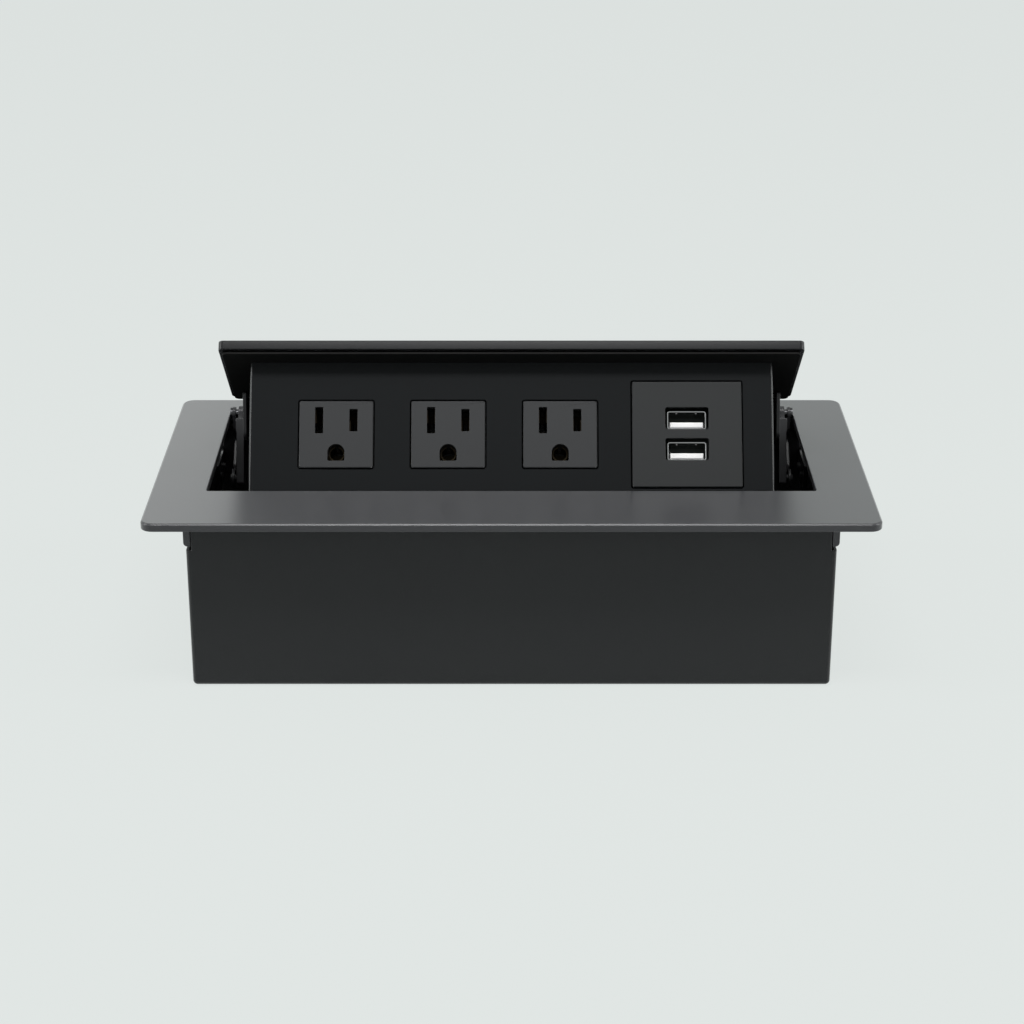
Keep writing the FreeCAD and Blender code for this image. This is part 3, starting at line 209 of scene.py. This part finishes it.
def new_group(name, inputs, outputs):
    """Empty shader node group with named sockets."""
    group = bpy.data.node_groups.new(name, "ShaderNodeTree")
    for label, kind, default in inputs:
        socket = group.interface.new_socket(name=label, in_out="INPUT", socket_type=kind)
        socket.default_value = default
    for label, kind in outputs:
        group.interface.new_socket(name=label, in_out="OUTPUT", socket_type=kind)
    return group


def add_node(tree, kind, place, **values):
    """Node at a place of the editor, with its settings."""
    node = tree.nodes.new(kind)
    node.location = place
    for key, value in values.items():
        setattr(node, key, value)
    return node


def centred(group, source, place):
    """Noise that swings about zero."""
    node = add_node(group, "ShaderNodeMath", place, operation="SUBTRACT")
    node.inputs[1].default_value = NOISE_MIDDLE
    group.links.new(source, node.inputs[0])
    return node


def finish_group(group, colour, shade, change, swing, height, roughness):
    """Scales the colour, varies the roughness and leads both and the height out of a group."""
    links = group.links
    leave = add_node(group, "NodeGroupOutput", (700, 0))
    tone = add_node(group, "ShaderNodeVectorMath", (400, 250), operation="SCALE")
    gloss = add_node(group, "ShaderNodeMath", (400, -50), operation="MULTIPLY_ADD")
    links.new(colour, tone.inputs[0])
    links.new(shade, tone.inputs["Scale"])
    links.new(swing, gloss.inputs[0])
    links.new(change, gloss.inputs[1])
    links.new(roughness, gloss.inputs[2])
    links.new(tone.outputs[0], leave.inputs["Colour"])
    links.new(gloss.outputs[0], leave.inputs["Roughness"])
    links.new(height, leave.inputs["Height"])
    return group


def coat_group():
    """Paint or moulded skin: fine grain, soft cloudiness and a slightly uneven gloss."""
    found = bpy.data.node_groups.get("Fine skin")
    if found:
        return found
    group = new_group("Fine skin",
                      [("Colour", "NodeSocketColor", (0.1, 0.1, 0.1, 1.0)),
                       ("Roughness", "NodeSocketFloat", 0.4),
                       ("Grain size", "NodeSocketFloat", 2200.0),
                       ("Colour change", "NodeSocketFloat", 0.08),
                       ("Gloss change", "NodeSocketFloat", 0.05)],
                      SKIN_OUTPUTS)
    links = group.links
    entry = add_node(group, "NodeGroupInput", (-900, 0))
    place = add_node(group, "ShaderNodeTexCoord", (-900, 300))
    grain = add_node(group, "ShaderNodeTexNoise", (-600, 300))
    grain.inputs["Detail"].default_value = 3.0
    grain.inputs["Roughness"].default_value = 0.6
    cloud = add_node(group, "ShaderNodeTexNoise", (-600, -100))
    cloud.inputs["Scale"].default_value = CLOUD_SCALE
    cloud.inputs["Detail"].default_value = 2.0
    links.new(place.outputs["Object"], grain.inputs["Vector"])
    links.new(place.outputs["Object"], cloud.inputs["Vector"])
    links.new(entry.outputs["Grain size"], grain.inputs["Scale"])
    fine_swing = centred(group, grain.outputs["Fac"], (-350, 250))
    broad_swing = centred(group, cloud.outputs["Fac"], (-350, -100))
    shade = add_node(group, "ShaderNodeMath", (-100, 250), operation="MULTIPLY_ADD")
    shade.inputs[2].default_value = 1.0
    links.new(fine_swing.outputs[0], shade.inputs[0])
    links.new(entry.outputs["Colour change"], shade.inputs[1])
    return finish_group(group, entry.outputs["Colour"], shade.outputs[0], entry.outputs["Gloss change"],
                        broad_swing.outputs[0], grain.outputs["Fac"], entry.outputs["Roughness"])


def brushed_group():
    """Drawn or turned metal: long fine lines along X."""
    found = bpy.data.node_groups.get("Drawn metal")
    if found:
        return found
    group = new_group("Drawn metal",
                      [("Colour", "NodeSocketColor", (0.5, 0.5, 0.5, 1.0)),
                       ("Roughness", "NodeSocketFloat", 0.3),
                       ("Line density", "NodeSocketFloat", 900.0),
                       ("Gloss change", "NodeSocketFloat", 0.15)],
                      SKIN_OUTPUTS)
    links = group.links
    entry = add_node(group, "NodeGroupInput", (-900, 0))
    place = add_node(group, "ShaderNodeTexCoord", (-900, 300))
    stretch = add_node(group, "ShaderNodeMapping", (-700, 300))
    stretch.inputs["Scale"].default_value = DRAWN_STRETCH
    lines = add_node(group, "ShaderNodeTexNoise", (-450, 300))
    lines.inputs["Detail"].default_value = 4.0
    links.new(place.outputs["Object"], stretch.inputs["Vector"])
    links.new(stretch.outputs["Vector"], lines.inputs["Vector"])
    links.new(entry.outputs["Line density"], lines.inputs["Scale"])
    swing = centred(group, lines.outputs["Fac"], (-200, 250))
    shade = add_node(group, "ShaderNodeMath", (50, 250), operation="MULTIPLY_ADD")
    shade.inputs[1].default_value = METAL_TONE_CHANGE
    shade.inputs[2].default_value = 1.0
    links.new(swing.outputs[0], shade.inputs[0])
    return finish_group(group, entry.outputs["Colour"], shade.outputs[0], entry.outputs["Gloss change"],
                        swing.outputs[0], lines.outputs["Fac"], entry.outputs["Roughness"])


def finish(name, group, values, bump, rim=0.0, rim_gloss=RIM_GLOSS, **shader):
    """Material whose colour, roughness and bump come from a shared group. Rim is how strong its clear coat
    gets where the surface turns away from the eye."""
    found = bpy.data.materials.get(name)
    if found:
        return found
    material = bpy.data.materials.new(name)
    material.use_nodes = True
    tree = material.node_tree
    surface = tree.nodes["Principled BSDF"]
    skin = add_node(tree, "ShaderNodeGroup", (-500, 200), node_tree=group)
    for key, value in values.items():
        skin.inputs[key].default_value = (*value, 1.0) if hasattr(value, "__len__") else value
    tree.links.new(skin.outputs["Colour"], surface.inputs["Base Color"])
    tree.links.new(skin.outputs["Roughness"], surface.inputs["Roughness"])
    if bump:
        relief = add_node(tree, "ShaderNodeBump", (-250, -200))
        relief.inputs["Strength"].default_value = bump
        relief.inputs["Distance"].default_value = RELIEF_DISTANCE
        tree.links.new(skin.outputs["Height"], relief.inputs["Height"])
        tree.links.new(relief.outputs["Normal"], surface.inputs["Normal"])
    if rim:
        glance = add_node(tree, "ShaderNodeLayerWeight", (-500, -450))
        glance.inputs["Blend"].default_value = RIM_BLEND
        share = add_node(tree, "ShaderNodeMath", (-250, -450), operation="MULTIPLY_ADD", use_clamp=True)
        share.inputs[1].default_value = rim * RIM_GAIN
        share.inputs[2].default_value = rim * RIM_START
        tree.links.new(glance.outputs["Facing"], share.inputs[0])
        tree.links.new(share.outputs[0], surface.inputs["Coat Weight"])
        surface.inputs["Coat Roughness"].default_value = rim_gloss
        surface.inputs["Coat IOR"].default_value = RIM_IOR
    for key, value in shader.items():
        surface.inputs[key.replace("_", " ")].default_value = value
    return material


def painted(name, colour, roughness, grain, bump, change=0.08, rim=0.0, sheen=0.4, rim_gloss=RIM_GLOSS):
    """Painted or moulded material. Grain is the density of its fine texture, change is how much its tone
    varies."""
    values = {"Colour": colour, "Roughness": roughness, "Grain size": grain, "Colour change": change}
    return finish(name, coat_group(), values, bump, rim, rim_gloss, Specular_IOR_Level=sheen)


def metal(name, colour, roughness, density=900.0, bump=0.03):
    """Bare metal."""
    values = {"Colour": colour, "Roughness": roughness, "Line density": density}
    return finish(name, brushed_group(), values, bump, Metallic=1.0)


def frame_paint(style):
    return painted("Satin frame paint", style.frame_colour, style.frame_gloss, grain=2600.0, bump=0.04,
                   change=0.06, rim=0.88, sheen=0.42, rim_gloss=0.42)


# The frame's satin paint with a darker colour as painted shade, to dim the lid's lit front face.
def shaded_lid_paint(style):
    return painted("Lid satin paint darkened as painted shade", style.lid_colour_painted_shade, style.lid_gloss, grain=2600.0, bump=0.04,
                   change=0.06, rim=1.6, sheen=0.1)


def liner_skin(style):
    return painted("Liner black", style.liner_colour, 0.6, grain=1900.0, bump=0.06, change=0.1, sheen=0.1)


def box_paint(style):
    return painted("Powder coat", style.box_colour, style.box_gloss, grain=1500.0, bump=0.14,
                   change=0.2, rim=0.8, sheen=0.25)


def panel_skin(style):
    return painted("Panel black", style.panel_colour, style.plastic_gloss, grain=1900.0, bump=0.08,
                   change=0.12, rim=2.2, sheen=0.08)


def outlet_skin(style):
    return painted("Outlet grey", style.outlet_colour, style.plastic_gloss, grain=2300.0, bump=0.06,
                   change=0.06, rim=1.8, sheen=0.28)


def charger_skin(style):
    return painted("Charger plate grey", style.charger_colour, style.plastic_gloss, grain=2300.0, bump=0.05,
                   change=0.06, rim=2.2, sheen=0.28)


def hinge_paint(style):
    return painted("Hinge paint", style.hinge_colour, 0.38, grain=1700.0, bump=0.08, change=0.15,
                   rim=0.6, sheen=0.3)


def bare_steel():
    return metal("Bright steel", (0.24, 0.24, 0.25), 0.32)


def dark_steel():
    return metal("Blackened steel", (0.06, 0.06, 0.063), 0.34)


def zinc_steel():
    return metal("Zinc plate", (0.42, 0.42, 0.43), 0.36)


def port_steel():
    return metal("Port shell steel", (0.3, 0.3, 0.305), 0.2, density=1400.0)


# Painted shade: the bronze is darkened nearly to black, so that contacts deep in the outlet slots and ports
# read as shadowed.
def shade_dark_contact_bronze():
    return metal("Contact bronze darkened as painted shade", (0.02, 0.0155, 0.01), 0.5, density=1200.0)


def tongue_white():
    return painted("Tongue white", (0.93, 0.93, 0.925), 0.45, grain=2400.0, bump=0.02, change=0.03)


def rubber_black():
    return painted("Cord rubber", (0.012, 0.012, 0.012), 0.7, grain=1300.0, bump=0.15, change=0.2)


def insulator_black():
    return painted("Insulator", (0.02, 0.0195, 0.019), 0.6, grain=1800.0, bump=0.06)


def board_green():
    return painted("Circuit board", (0.004, 0.012, 0.008), 0.5, grain=700.0, bump=0.05, change=0.35)


def latch_black():
    return painted("Latch plastic", (0.018, 0.018, 0.019), 0.3, grain=2000.0, bump=0.04)


def select_only(piece):
    """Leaves one object selected and active."""
    if bpy.context.object and bpy.context.object.mode != "OBJECT":
        bpy.ops.object.mode_set(mode="OBJECT")
    bpy.ops.object.select_all(action="DESELECT")
    piece.select_set(True)
    bpy.context.view_layer.objects.active = piece


def apply_modifier(piece, name, kind, **values):
    """Adds a modifier with its settings and applies it."""
    select_only(piece)
    modifier = piece.modifiers.new(name, kind)
    for key, value in values.items():
        setattr(modifier, key, value)
    bpy.ops.object.modifier_apply(modifier=modifier.name)


def paint(piece, material):
    """Gives a piece one material."""
    piece.data.materials.clear()
    piece.data.materials.append(material)


def settle(piece):
    """Moves a piece's place, turn and scale into its mesh."""
    select_only(piece)
    bpy.ops.object.transform_apply(location=True, rotation=True, scale=True)


def twin(source, name):
    """Copy of a piece under its own name."""
    select_only(source)
    bpy.ops.object.duplicate()
    piece = bpy.context.view_layer.objects.active
    piece.name = name
    piece.data.name = piece.name
    return piece


def softened(node, body, radius, material, segments=2, limit=30.0, smooth=SMOOTH_ANGLE):
    """Copy of a solid with merged faces and rounded edges, which stands for the solid."""
    piece = twin(frame["nodes"][node], node + "_soft")
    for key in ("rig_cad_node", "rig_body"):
        if key in piece:
            del piece[key]
    piece.parent = None
    if piece.data.has_custom_normals:
        bpy.ops.mesh.customdata_custom_splitnormals_clear()
    bpy.ops.object.mode_set(mode="EDIT")
    bpy.ops.mesh.select_all(action="SELECT")
    bpy.ops.mesh.remove_doubles(threshold=SAME_POINT)
    bpy.ops.mesh.dissolve_limited(angle_limit=math.radians(FLAT_ENOUGH))
    bpy.ops.object.mode_set(mode="OBJECT")
    bpy.ops.object.shade_smooth_by_angle(angle=math.radians(smooth))
    if radius:
        apply_modifier(piece, "Soft edges", "BEVEL", width=radius, segments=segments, limit_method="ANGLE",
                       angle_limit=math.radians(limit), use_clamp_overlap=False, miter_outer="MITER_ARC",
                       harden_normals=True)
    paint(piece, material)
    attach(piece, body)
    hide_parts(node)
    return piece


def keep_solid(node, material):
    """A solid that keeps its mesh and gets a finish."""
    paint(frame["nodes"][node], material)


class MODULE_OT_frame(bpy.types.Operator):
    """Surface frame with softened bevels and satin paint"""
    bl_idname = "power_module.frame"
    bl_label = "Surface frame"

    def execute(self, context):
        style = context.scene.module_finish
        edges = context.scene.module_edges
        softened("frame", HOUSING, edges.plate_edge, frame_paint(style),
                 segments=3, limit=25.0, smooth=30.0)
        return {"FINISHED"}


class MODULE_OT_box(bpy.types.Operator):
    """Folded box with powder coat, its weld nuts and the cord grommet"""
    bl_idname = "power_module.box"
    bl_label = "Box"

    def execute(self, context):
        style = context.scene.module_finish
        edges = context.scene.module_edges
        softened("box_shell", HOUSING, edges.sheet_edge, box_paint(style))
        softened("cord_grommet", HOUSING, edges.plastic_edge, rubber_black())
        keep_solid("clamp_nuts", zinc_steel())
        return {"FINISHED"}


class MODULE_OT_lid(bpy.types.Operator):
    """Lid plate and liner with soft edges"""
    bl_idname = "power_module.lid"
    bl_label = "Lid"

    def execute(self, context):
        style = context.scene.module_finish
        edges = context.scene.module_edges
        for node, skin in (("lid_plate", shaded_lid_paint(style)), ("lid_liner", liner_skin(style))):
            softened(node, CARTRIDGE, edges.plate_edge, skin, limit=MOULDED_CORNER)
        return {"FINISHED"}


class MODULE_OT_panel(bpy.types.Operator):
    """Front panel, cartridge body, end caps and cord bush"""
    bl_idname = "power_module.panel"
    bl_label = "Panel and cartridge body"

    def execute(self, context):
        style = context.scene.module_finish
        edges = context.scene.module_edges
        skin = panel_skin(style)
        for node in ("front_panel", "cartridge_shell", "end_cap_left", "end_cap_right"):
            softened(node, CARTRIDGE, edges.plastic_edge, skin, limit=MOULDED_CORNER)
        softened("cord_bush", CARTRIDGE, edges.plastic_edge, rubber_black())
        return {"FINISHED"}


class MODULE_OT_outlets(bpy.types.Operator):
    """Outlets with softened faces, contact strips, carrier and terminals"""
    bl_idname = "power_module.outlets"
    bl_label = "Outlets"

    def execute(self, context):
        style = context.scene.module_finish
        edges = context.scene.module_edges
        first = softened("outlet_1", CARTRIDGE, edges.plastic_edge, outlet_skin(style),
                         limit=MOULDED_CORNER)
        for node in ("outlet_2", "outlet_3"):
            piece = twin(first, node + "_soft")
            piece.location.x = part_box(node)[0].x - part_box("outlet_1")[0].x
            settle(piece)
            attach(piece, CARTRIDGE)
            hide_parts(node)
        for node in ("neutral_strip", "line_strip", "ground_strip"):
            # contact strips get the bronze darkened as painted shade
            keep_solid(node, shade_dark_contact_bronze())
        for node in ("contact_carrier", "terminal_block"):
            keep_solid(node, insulator_black())
        return {"FINISHED"}


class MODULE_OT_charger(bpy.types.Operator):
    """Charger plate, port shells, tongues, contact strips, case and board"""
    bl_idname = "power_module.charger"
    bl_label = "Charger"

    def execute(self, context):
        style = context.scene.module_finish
        edges = context.scene.module_edges
        softened("charger_plate", CARTRIDGE, edges.plastic_edge, charger_skin(style),
                 limit=MOULDED_CORNER)
        for place in ("upper", "lower"):
            softened(place + "_port_shell", CARTRIDGE, edges.fine_edge, port_steel(),
                     limit=MOULDED_CORNER)
            softened(place + "_port_tongue", CARTRIDGE, edges.fine_edge, tongue_white(),
                     limit=MOULDED_CORNER)
        # port pins get the bronze darkened as painted shade
        keep_solid("port_pins", shade_dark_contact_bronze())
        keep_solid("charger_case", charger_skin(style))
        keep_solid("charger_board", board_green())
        return {"FINISHED"}


class MODULE_OT_hinges(bpy.types.Operator):
    """Arms, side plates, brackets, pins, rivets and springs"""
    bl_idname = "power_module.hinges"
    bl_label = "Hinges"

    def execute(self, context):
        style = context.scene.module_finish
        edges = context.scene.module_edges
        coat = hinge_paint(style)
        for side in ("left", "right"):
            softened("hinge_arm_" + side, CARTRIDGE, edges.sheet_edge, coat)
            softened("hinge_gusset_" + side, CARTRIDGE, edges.sheet_edge, coat)
            softened("hinge_bracket_" + side, HOUSING, edges.sheet_edge, coat)
            keep_solid("hinge_pin_" + side, dark_steel())
            keep_solid("torsion_spring_" + side, dark_steel())
        keep_solid("arm_rivets", dark_steel())
        return {"FINISHED"}


class MODULE_OT_latch(bpy.types.Operator):
    """Push latch, its plunger, the spring under it on a mesh of its own, and the keeper"""
    bl_idname = "power_module.latch"
    bl_label = "Latch"

    def execute(self, context):
        edges = context.scene.module_edges
        softened("latch_body", HOUSING, edges.plastic_edge, latch_black())
        keep_solid("latch_plunger", latch_black())
        for node in ("latch_magnet", "latch_keeper"):
            keep_solid(node, bare_steel())
        coil = softened("latch_spring", HOUSING, 0.0, bare_steel())
        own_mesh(coil)
        return {"FINISHED"}


def screw_master(name, head_radius, head_height, shank_length, sizes):
    """Pan-head screw with a cross recess and ring grooves for a thread. The head's seat is at Z = 0 and the
    shank goes down."""
    bpy.ops.object.select_all(action="DESELECT")
    bpy.ops.mesh.primitive_cylinder_add(vertices=HEAD_SIDES, radius=head_radius, depth=head_height,
                                        location=(0, 0, head_height / 2))
    head = bpy.context.active_object
    settle(head)
    bpy.ops.object.mode_set(mode="EDIT")
    bpy.ops.mesh.select_mode(type="FACE")
    bpy.ops.mesh.select_all(action="DESELECT")
    bpy.ops.object.mode_set(mode="OBJECT")
    for face in head.data.polygons:
        face.select = face.normal.z > FACES_UP
    bpy.ops.object.mode_set(mode="EDIT")
    bpy.ops.mesh.bevel(offset=head_height * HEAD_ROUND_SHARE, segments=HEAD_ROUND_STEPS, affect="EDGES",
                       clamp_overlap=True)
    bpy.ops.object.mode_set(mode="OBJECT")
    for turn, deeper in ((0.0, 1.0), (math.pi / 2, SECOND_CUT_DEEPER)):
        bpy.ops.mesh.primitive_cube_add(size=1.0, location=(0, 0, head_height))
        slot = bpy.context.active_object
        slot.scale = (head_radius * RECESS_SPAN, sizes.recess_width, sizes.recess_depth * 2 * deeper)
        slot.rotation_euler = (0, 0, turn)
        settle(slot)
        apply_modifier(head, "Cross recess", "BOOLEAN", object=slot, operation="DIFFERENCE", solver="EXACT")
        bpy.data.objects.remove(slot)
    root = sizes.shank_radius * ROOT_SHARE
    grow = sizes.shank_radius * CREST_SHARE / root
    grooves = max(2, int(shank_length / sizes.thread_pitch))
    step = (shank_length + SHANK_IN_HEAD) / (2 * grooves)
    bpy.ops.object.select_all(action="DESELECT")
    bpy.ops.mesh.primitive_circle_add(vertices=SHANK_SIDES, radius=root, fill_type="NGON",
                                      location=(0, 0, -shank_length))
    shank = bpy.context.active_object
    settle(shank)
    bpy.ops.object.mode_set(mode="EDIT")
    bpy.ops.mesh.select_mode(type="FACE")
    bpy.ops.mesh.select_all(action="SELECT")
    for half in range(2 * grooves):
        bpy.ops.mesh.extrude_region_move(TRANSFORM_OT_translate={"value": (0, 0, step)})
        change = grow if half % 2 == 0 else 1 / grow
        bpy.ops.transform.resize(value=(change, change, 1.0), center_override=(0, 0, 0))
    bpy.ops.object.mode_set(mode="OBJECT")
    bpy.ops.object.select_all(action="DESELECT")
    for piece in (shank, head):
        piece.select_set(True)
    bpy.context.view_layer.objects.active = head
    bpy.ops.object.join()
    head.name = name
    bpy.ops.object.shade_smooth_by_angle(angle=math.radians(SMOOTH_ANGLE))
    return head


def set_screws(node, body, places, head_radius, head_height, shank_length, sizes, material):
    """Copies of a screw at each place, as one piece that stands for the solid screws. A place is the middle
    of the head's seat and the way that the head faces."""
    master = screw_master(node + "_master", head_radius, head_height, shank_length, sizes)
    copies = []
    for seat, outward in places:
        select_only(master)
        bpy.ops.object.duplicate()
        copy = bpy.context.view_layer.objects.active
        copy.rotation_mode = "QUATERNION"
        copy.rotation_quaternion = outward.to_track_quat("Z", "Y")
        copy.location = seat
        settle(copy)
        copies.append(copy)
    bpy.ops.object.select_all(action="DESELECT")
    for copy in copies:
        copy.select_set(True)
    bpy.context.view_layer.objects.active = copies[0]
    bpy.ops.object.join()
    group = bpy.context.view_layer.objects.active
    group.name = node + "_cross"
    bpy.data.objects.remove(master)
    paint(group, material)
    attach(group, body)
    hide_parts(node)


def islands(node):
    """Points of each separate solid of a node."""
    mesh = bmesh.new()
    mesh.from_mesh(frame["nodes"][node].data)
    bmesh.ops.remove_doubles(mesh, verts=mesh.verts, dist=SAME_POINT)
    seen = set()
    found = []
    for start in mesh.verts:
        if start in seen:
            continue
        seen.add(start)
        group = [start]
        for point in group:
            for edge in point.link_edges:
                other = edge.other_vert(point)
                if other not in seen:
                    seen.add(other)
                    group.append(other)
        found.append([point.co.copy() for point in group])
    mesh.free()
    return found


def spans(points, axis):
    """Lowest and highest distance of some points along an axis."""
    reach = [p.dot(axis) for p in points]
    return min(reach), max(reach)


class MODULE_OT_screws(bpy.types.Operator):
    """Cross-recess screws of frame, brackets, lid and latch"""
    bl_idname = "power_module.screws"
    bl_label = "Screws"

    def execute(self, context):
        sizes = context.scene.module_screws
        steel = zinc_steel()
        large = (sizes.head_radius, sizes.head_height)
        small = (sizes.small_head_radius, sizes.small_head_height)
        down = Vector((0, 0, -1))
        up = Vector((0, 0, 1))
        lid_down = Vector((0, -math.sin(SWING), -math.cos(SWING)))
        jobs = (
            ("frame_screws", HOUSING, lambda middle: down, large),
            ("bracket_screws", HOUSING, lambda middle: Vector((math.copysign(1, middle.x), 0, 0)), large),
            ("lid_screws", CARTRIDGE, lambda middle: lid_down, large),
            ("latch_screws", HOUSING, lambda middle: up, small),
        )
        for node, body, direction, (radius, height) in jobs:
            places = []
            shanks = []
            for points in islands(node):
                middle = sum(points, Vector()) / len(points)
                outward = direction(middle)
                low, high = spans(points, outward)
                across = [outward.orthogonal().normalized()]
                across.append(outward.cross(across[0]))
                seat = outward * (high - height)
                for axis in across:
                    a, b = spans(points, axis)
                    seat = seat + axis * ((a + b) / 2)
                places.append((seat, outward))
                shanks.append(high - low - height)
            set_screws(node, body, places, radius, height, min(shanks), sizes, steel)
        return {"FINISHED"}


def background_rays(tree):
    """Node that is 1 for rays that show the plain background: from the camera, off gloss, through glass."""
    rays = add_node(tree, "ShaderNodeLightPath", (-800, 300))
    first = add_node(tree, "ShaderNodeMath", (-550, 300), operation="MAXIMUM")
    either = add_node(tree, "ShaderNodeMath", (-350, 300), operation="MAXIMUM")
    tree.links.new(rays.outputs["Is Camera Ray"], first.inputs[0])
    tree.links.new(rays.outputs["Is Glossy Ray"], first.inputs[1])
    tree.links.new(first.outputs[0], either.inputs[0])
    tree.links.new(rays.outputs["Is Transmission Ray"], either.inputs[1])
    return either


def show_plain(tree, share, lit, plain, output):
    """Leads two shaders to an output: the plain one for a share of the light, the lit one for the rest."""
    out = add_node(tree, output, (600, 0))
    mix = add_node(tree, "ShaderNodeMixShader", (350, 0))
    tree.links.new(share.outputs[0], mix.inputs[0])
    tree.links.new(lit.outputs[0], mix.inputs[1])
    tree.links.new(plain.outputs[0], mix.inputs[2])
    tree.links.new(mix.outputs[0], out.inputs["Surface"])


def studio_air(colour, ambient):
    """World that looks like the plain background and lights the part with soft white."""
    world = bpy.data.worlds.new("Studio air")
    world.use_nodes = True
    tree = world.node_tree
    tree.nodes.clear()
    seen = add_node(tree, "ShaderNodeBackground", (100, 150))
    seen.inputs["Color"].default_value = colour
    air = add_node(tree, "ShaderNodeBackground", (100, -50))
    air.inputs["Color"].default_value = (1.0, 1.0, 1.0, 1.0)
    air.inputs["Strength"].default_value = ambient
    show_plain(tree, background_rays(tree), air, seen, "ShaderNodeOutputWorld")
    return world


def floor_skin(colour):
    """Floor that is nearly the plain background and takes a faint shadow."""
    material = bpy.data.materials.new("Studio floor")
    material.use_nodes = True
    tree = material.node_tree
    tree.nodes.clear()
    matt = add_node(tree, "ShaderNodeBsdfDiffuse", (0, 100))
    matt.inputs["Color"].default_value = colour
    glow = add_node(tree, "ShaderNodeEmission", (0, -100))
    glow.inputs["Color"].default_value = colour
    share = add_node(tree, "ShaderNodeMath", (-150, 300), operation="MULTIPLY")
    share.inputs[1].default_value = FLOOR_SHARE
    tree.links.new(background_rays(tree).outputs[0], share.inputs[0])
    show_plain(tree, share, matt, glow, "ShaderNodeOutputMaterial")
    return material


def area_light(name, place, aim_height, width, height, watts):
    """Rectangular soft light that faces a point over the origin."""
    lamp = bpy.data.lights.new(name, "AREA")
    lamp.shape = "RECTANGLE"
    lamp.size = width
    lamp.size_y = height
    lamp.energy = watts
    holder = bpy.data.objects.new(name, lamp)
    holder.location = place
    holder.rotation_euler = (Vector((0, 0, aim_height)) - Vector(place)).to_track_quat("-Z", "Y").to_euler()
    bpy.context.scene.collection.objects.link(holder)


class MODULE_OT_stage(bpy.types.Operator):
    """Pale floor and background, soft lights and the camera"""
    bl_idname = "power_module.stage"
    bl_label = "Studio"

    def execute(self, context):
        studio = context.scene.module_studio
        scene = context.scene
        scene.view_settings.view_transform = "Standard"
        shade = (*studio.background, 1.0)
        scene.world = studio_air(shade, studio.ambient)

        bpy.ops.object.select_all(action="DESELECT")
        bpy.ops.mesh.primitive_plane_add(size=FLOOR_SIZE, location=(0, 0, CAD_BOX[0].z - FLOOR_GAP))
        floor = bpy.context.active_object
        floor.name = "studio_floor"
        paint(floor, floor_skin(shade))
        settle(floor)

        lamps = (
            ("Top light", (0.0, -0.42, 1.2), 0.05, 0.72, 0.2, studio.top_power),
            ("Back light", (-0.95, 2.0, 0.95), 0.07, 1.4, 1.0, studio.back_power),
            ("Left light", (-1.1, -0.2, 0.6), 0.06, 0.22, 0.9, studio.side_power * LEFT_OVER_RIGHT),
            ("Right light", (1.1, -0.2, 0.6), 0.06, 0.22, 0.9, studio.side_power),
            ("Front light", (0.0, -1.3, 0.9), 0.06, 1.2, 0.5, studio.front_power),
        )
        for name, place, aim_height, width, height, watts in lamps:
            area_light(name, place, aim_height, width=width, height=height, watts=watts)

        lens = bpy.data.cameras.new("Studio camera")
        lens.sensor_width = SENSOR_WIDTH
        lens.lens = studio.lens
        camera = bpy.data.objects.new("Studio camera", lens)
        camera.location = (studio.camera_side, -studio.camera_back, studio.camera_height)
        camera.rotation_euler = (math.pi / 2 - studio.camera_down, 0.0, 0.0)
        scene.collection.objects.link(camera)
        scene.camera = camera
        return {"FINISHED"}


class MODULE_PT_sidebar(bpy.types.Panel):
    """Lists the pieces of the power module and their settings"""
    bl_idname = "MODULE_PT_sidebar"
    bl_label = "Power module"
    bl_space_type = "VIEW_3D"
    bl_region_type = "UI"
    bl_category = "Power module"

    def draw(self, context):
        layout = self.layout
        for operator in OPERATORS:
            layout.operator(operator.bl_idname)
        for name in SETTINGS:
            settings = getattr(context.scene, name)
            box = layout.box()
            for key in settings.__annotations__:
                box.prop(settings, key)


OPERATORS = (MODULE_OT_frame, MODULE_OT_box, MODULE_OT_lid, MODULE_OT_panel, MODULE_OT_outlets,
             MODULE_OT_charger, MODULE_OT_hinges, MODULE_OT_latch, MODULE_OT_screws, MODULE_OT_stage)
SETTINGS = {"module_finish": ModuleFinish, "module_edges": ModuleEdges,
            "module_screws": ModuleScrews, "module_studio": ModuleStudio}


def register():
    for settings in SETTINGS.values():
        bpy.utils.register_class(settings)
    for operator in OPERATORS:
        bpy.utils.register_class(operator)
    bpy.utils.register_class(MODULE_PT_sidebar)
    for name, settings in SETTINGS.items():
        setattr(bpy.types.Scene, name, PointerProperty(type=settings))


def unregister():
    for name in SETTINGS:
        delattr(bpy.types.Scene, name)
    bpy.utils.unregister_class(MODULE_PT_sidebar)
    for operator in reversed(OPERATORS):
        bpy.utils.unregister_class(operator)
    for settings in reversed(list(SETTINGS.values())):
        bpy.utils.unregister_class(settings)


def main():
    """Builds every piece in turn."""
    register()
    bpy.ops.power_module.frame()
    bpy.ops.power_module.box()
    bpy.ops.power_module.lid()
    bpy.ops.power_module.panel()
    bpy.ops.power_module.outlets()
    bpy.ops.power_module.charger()
    bpy.ops.power_module.hinges()
    bpy.ops.power_module.latch()
    bpy.ops.power_module.screws()
    bpy.ops.power_module.stage()


if __name__ == "__main__":
    main()
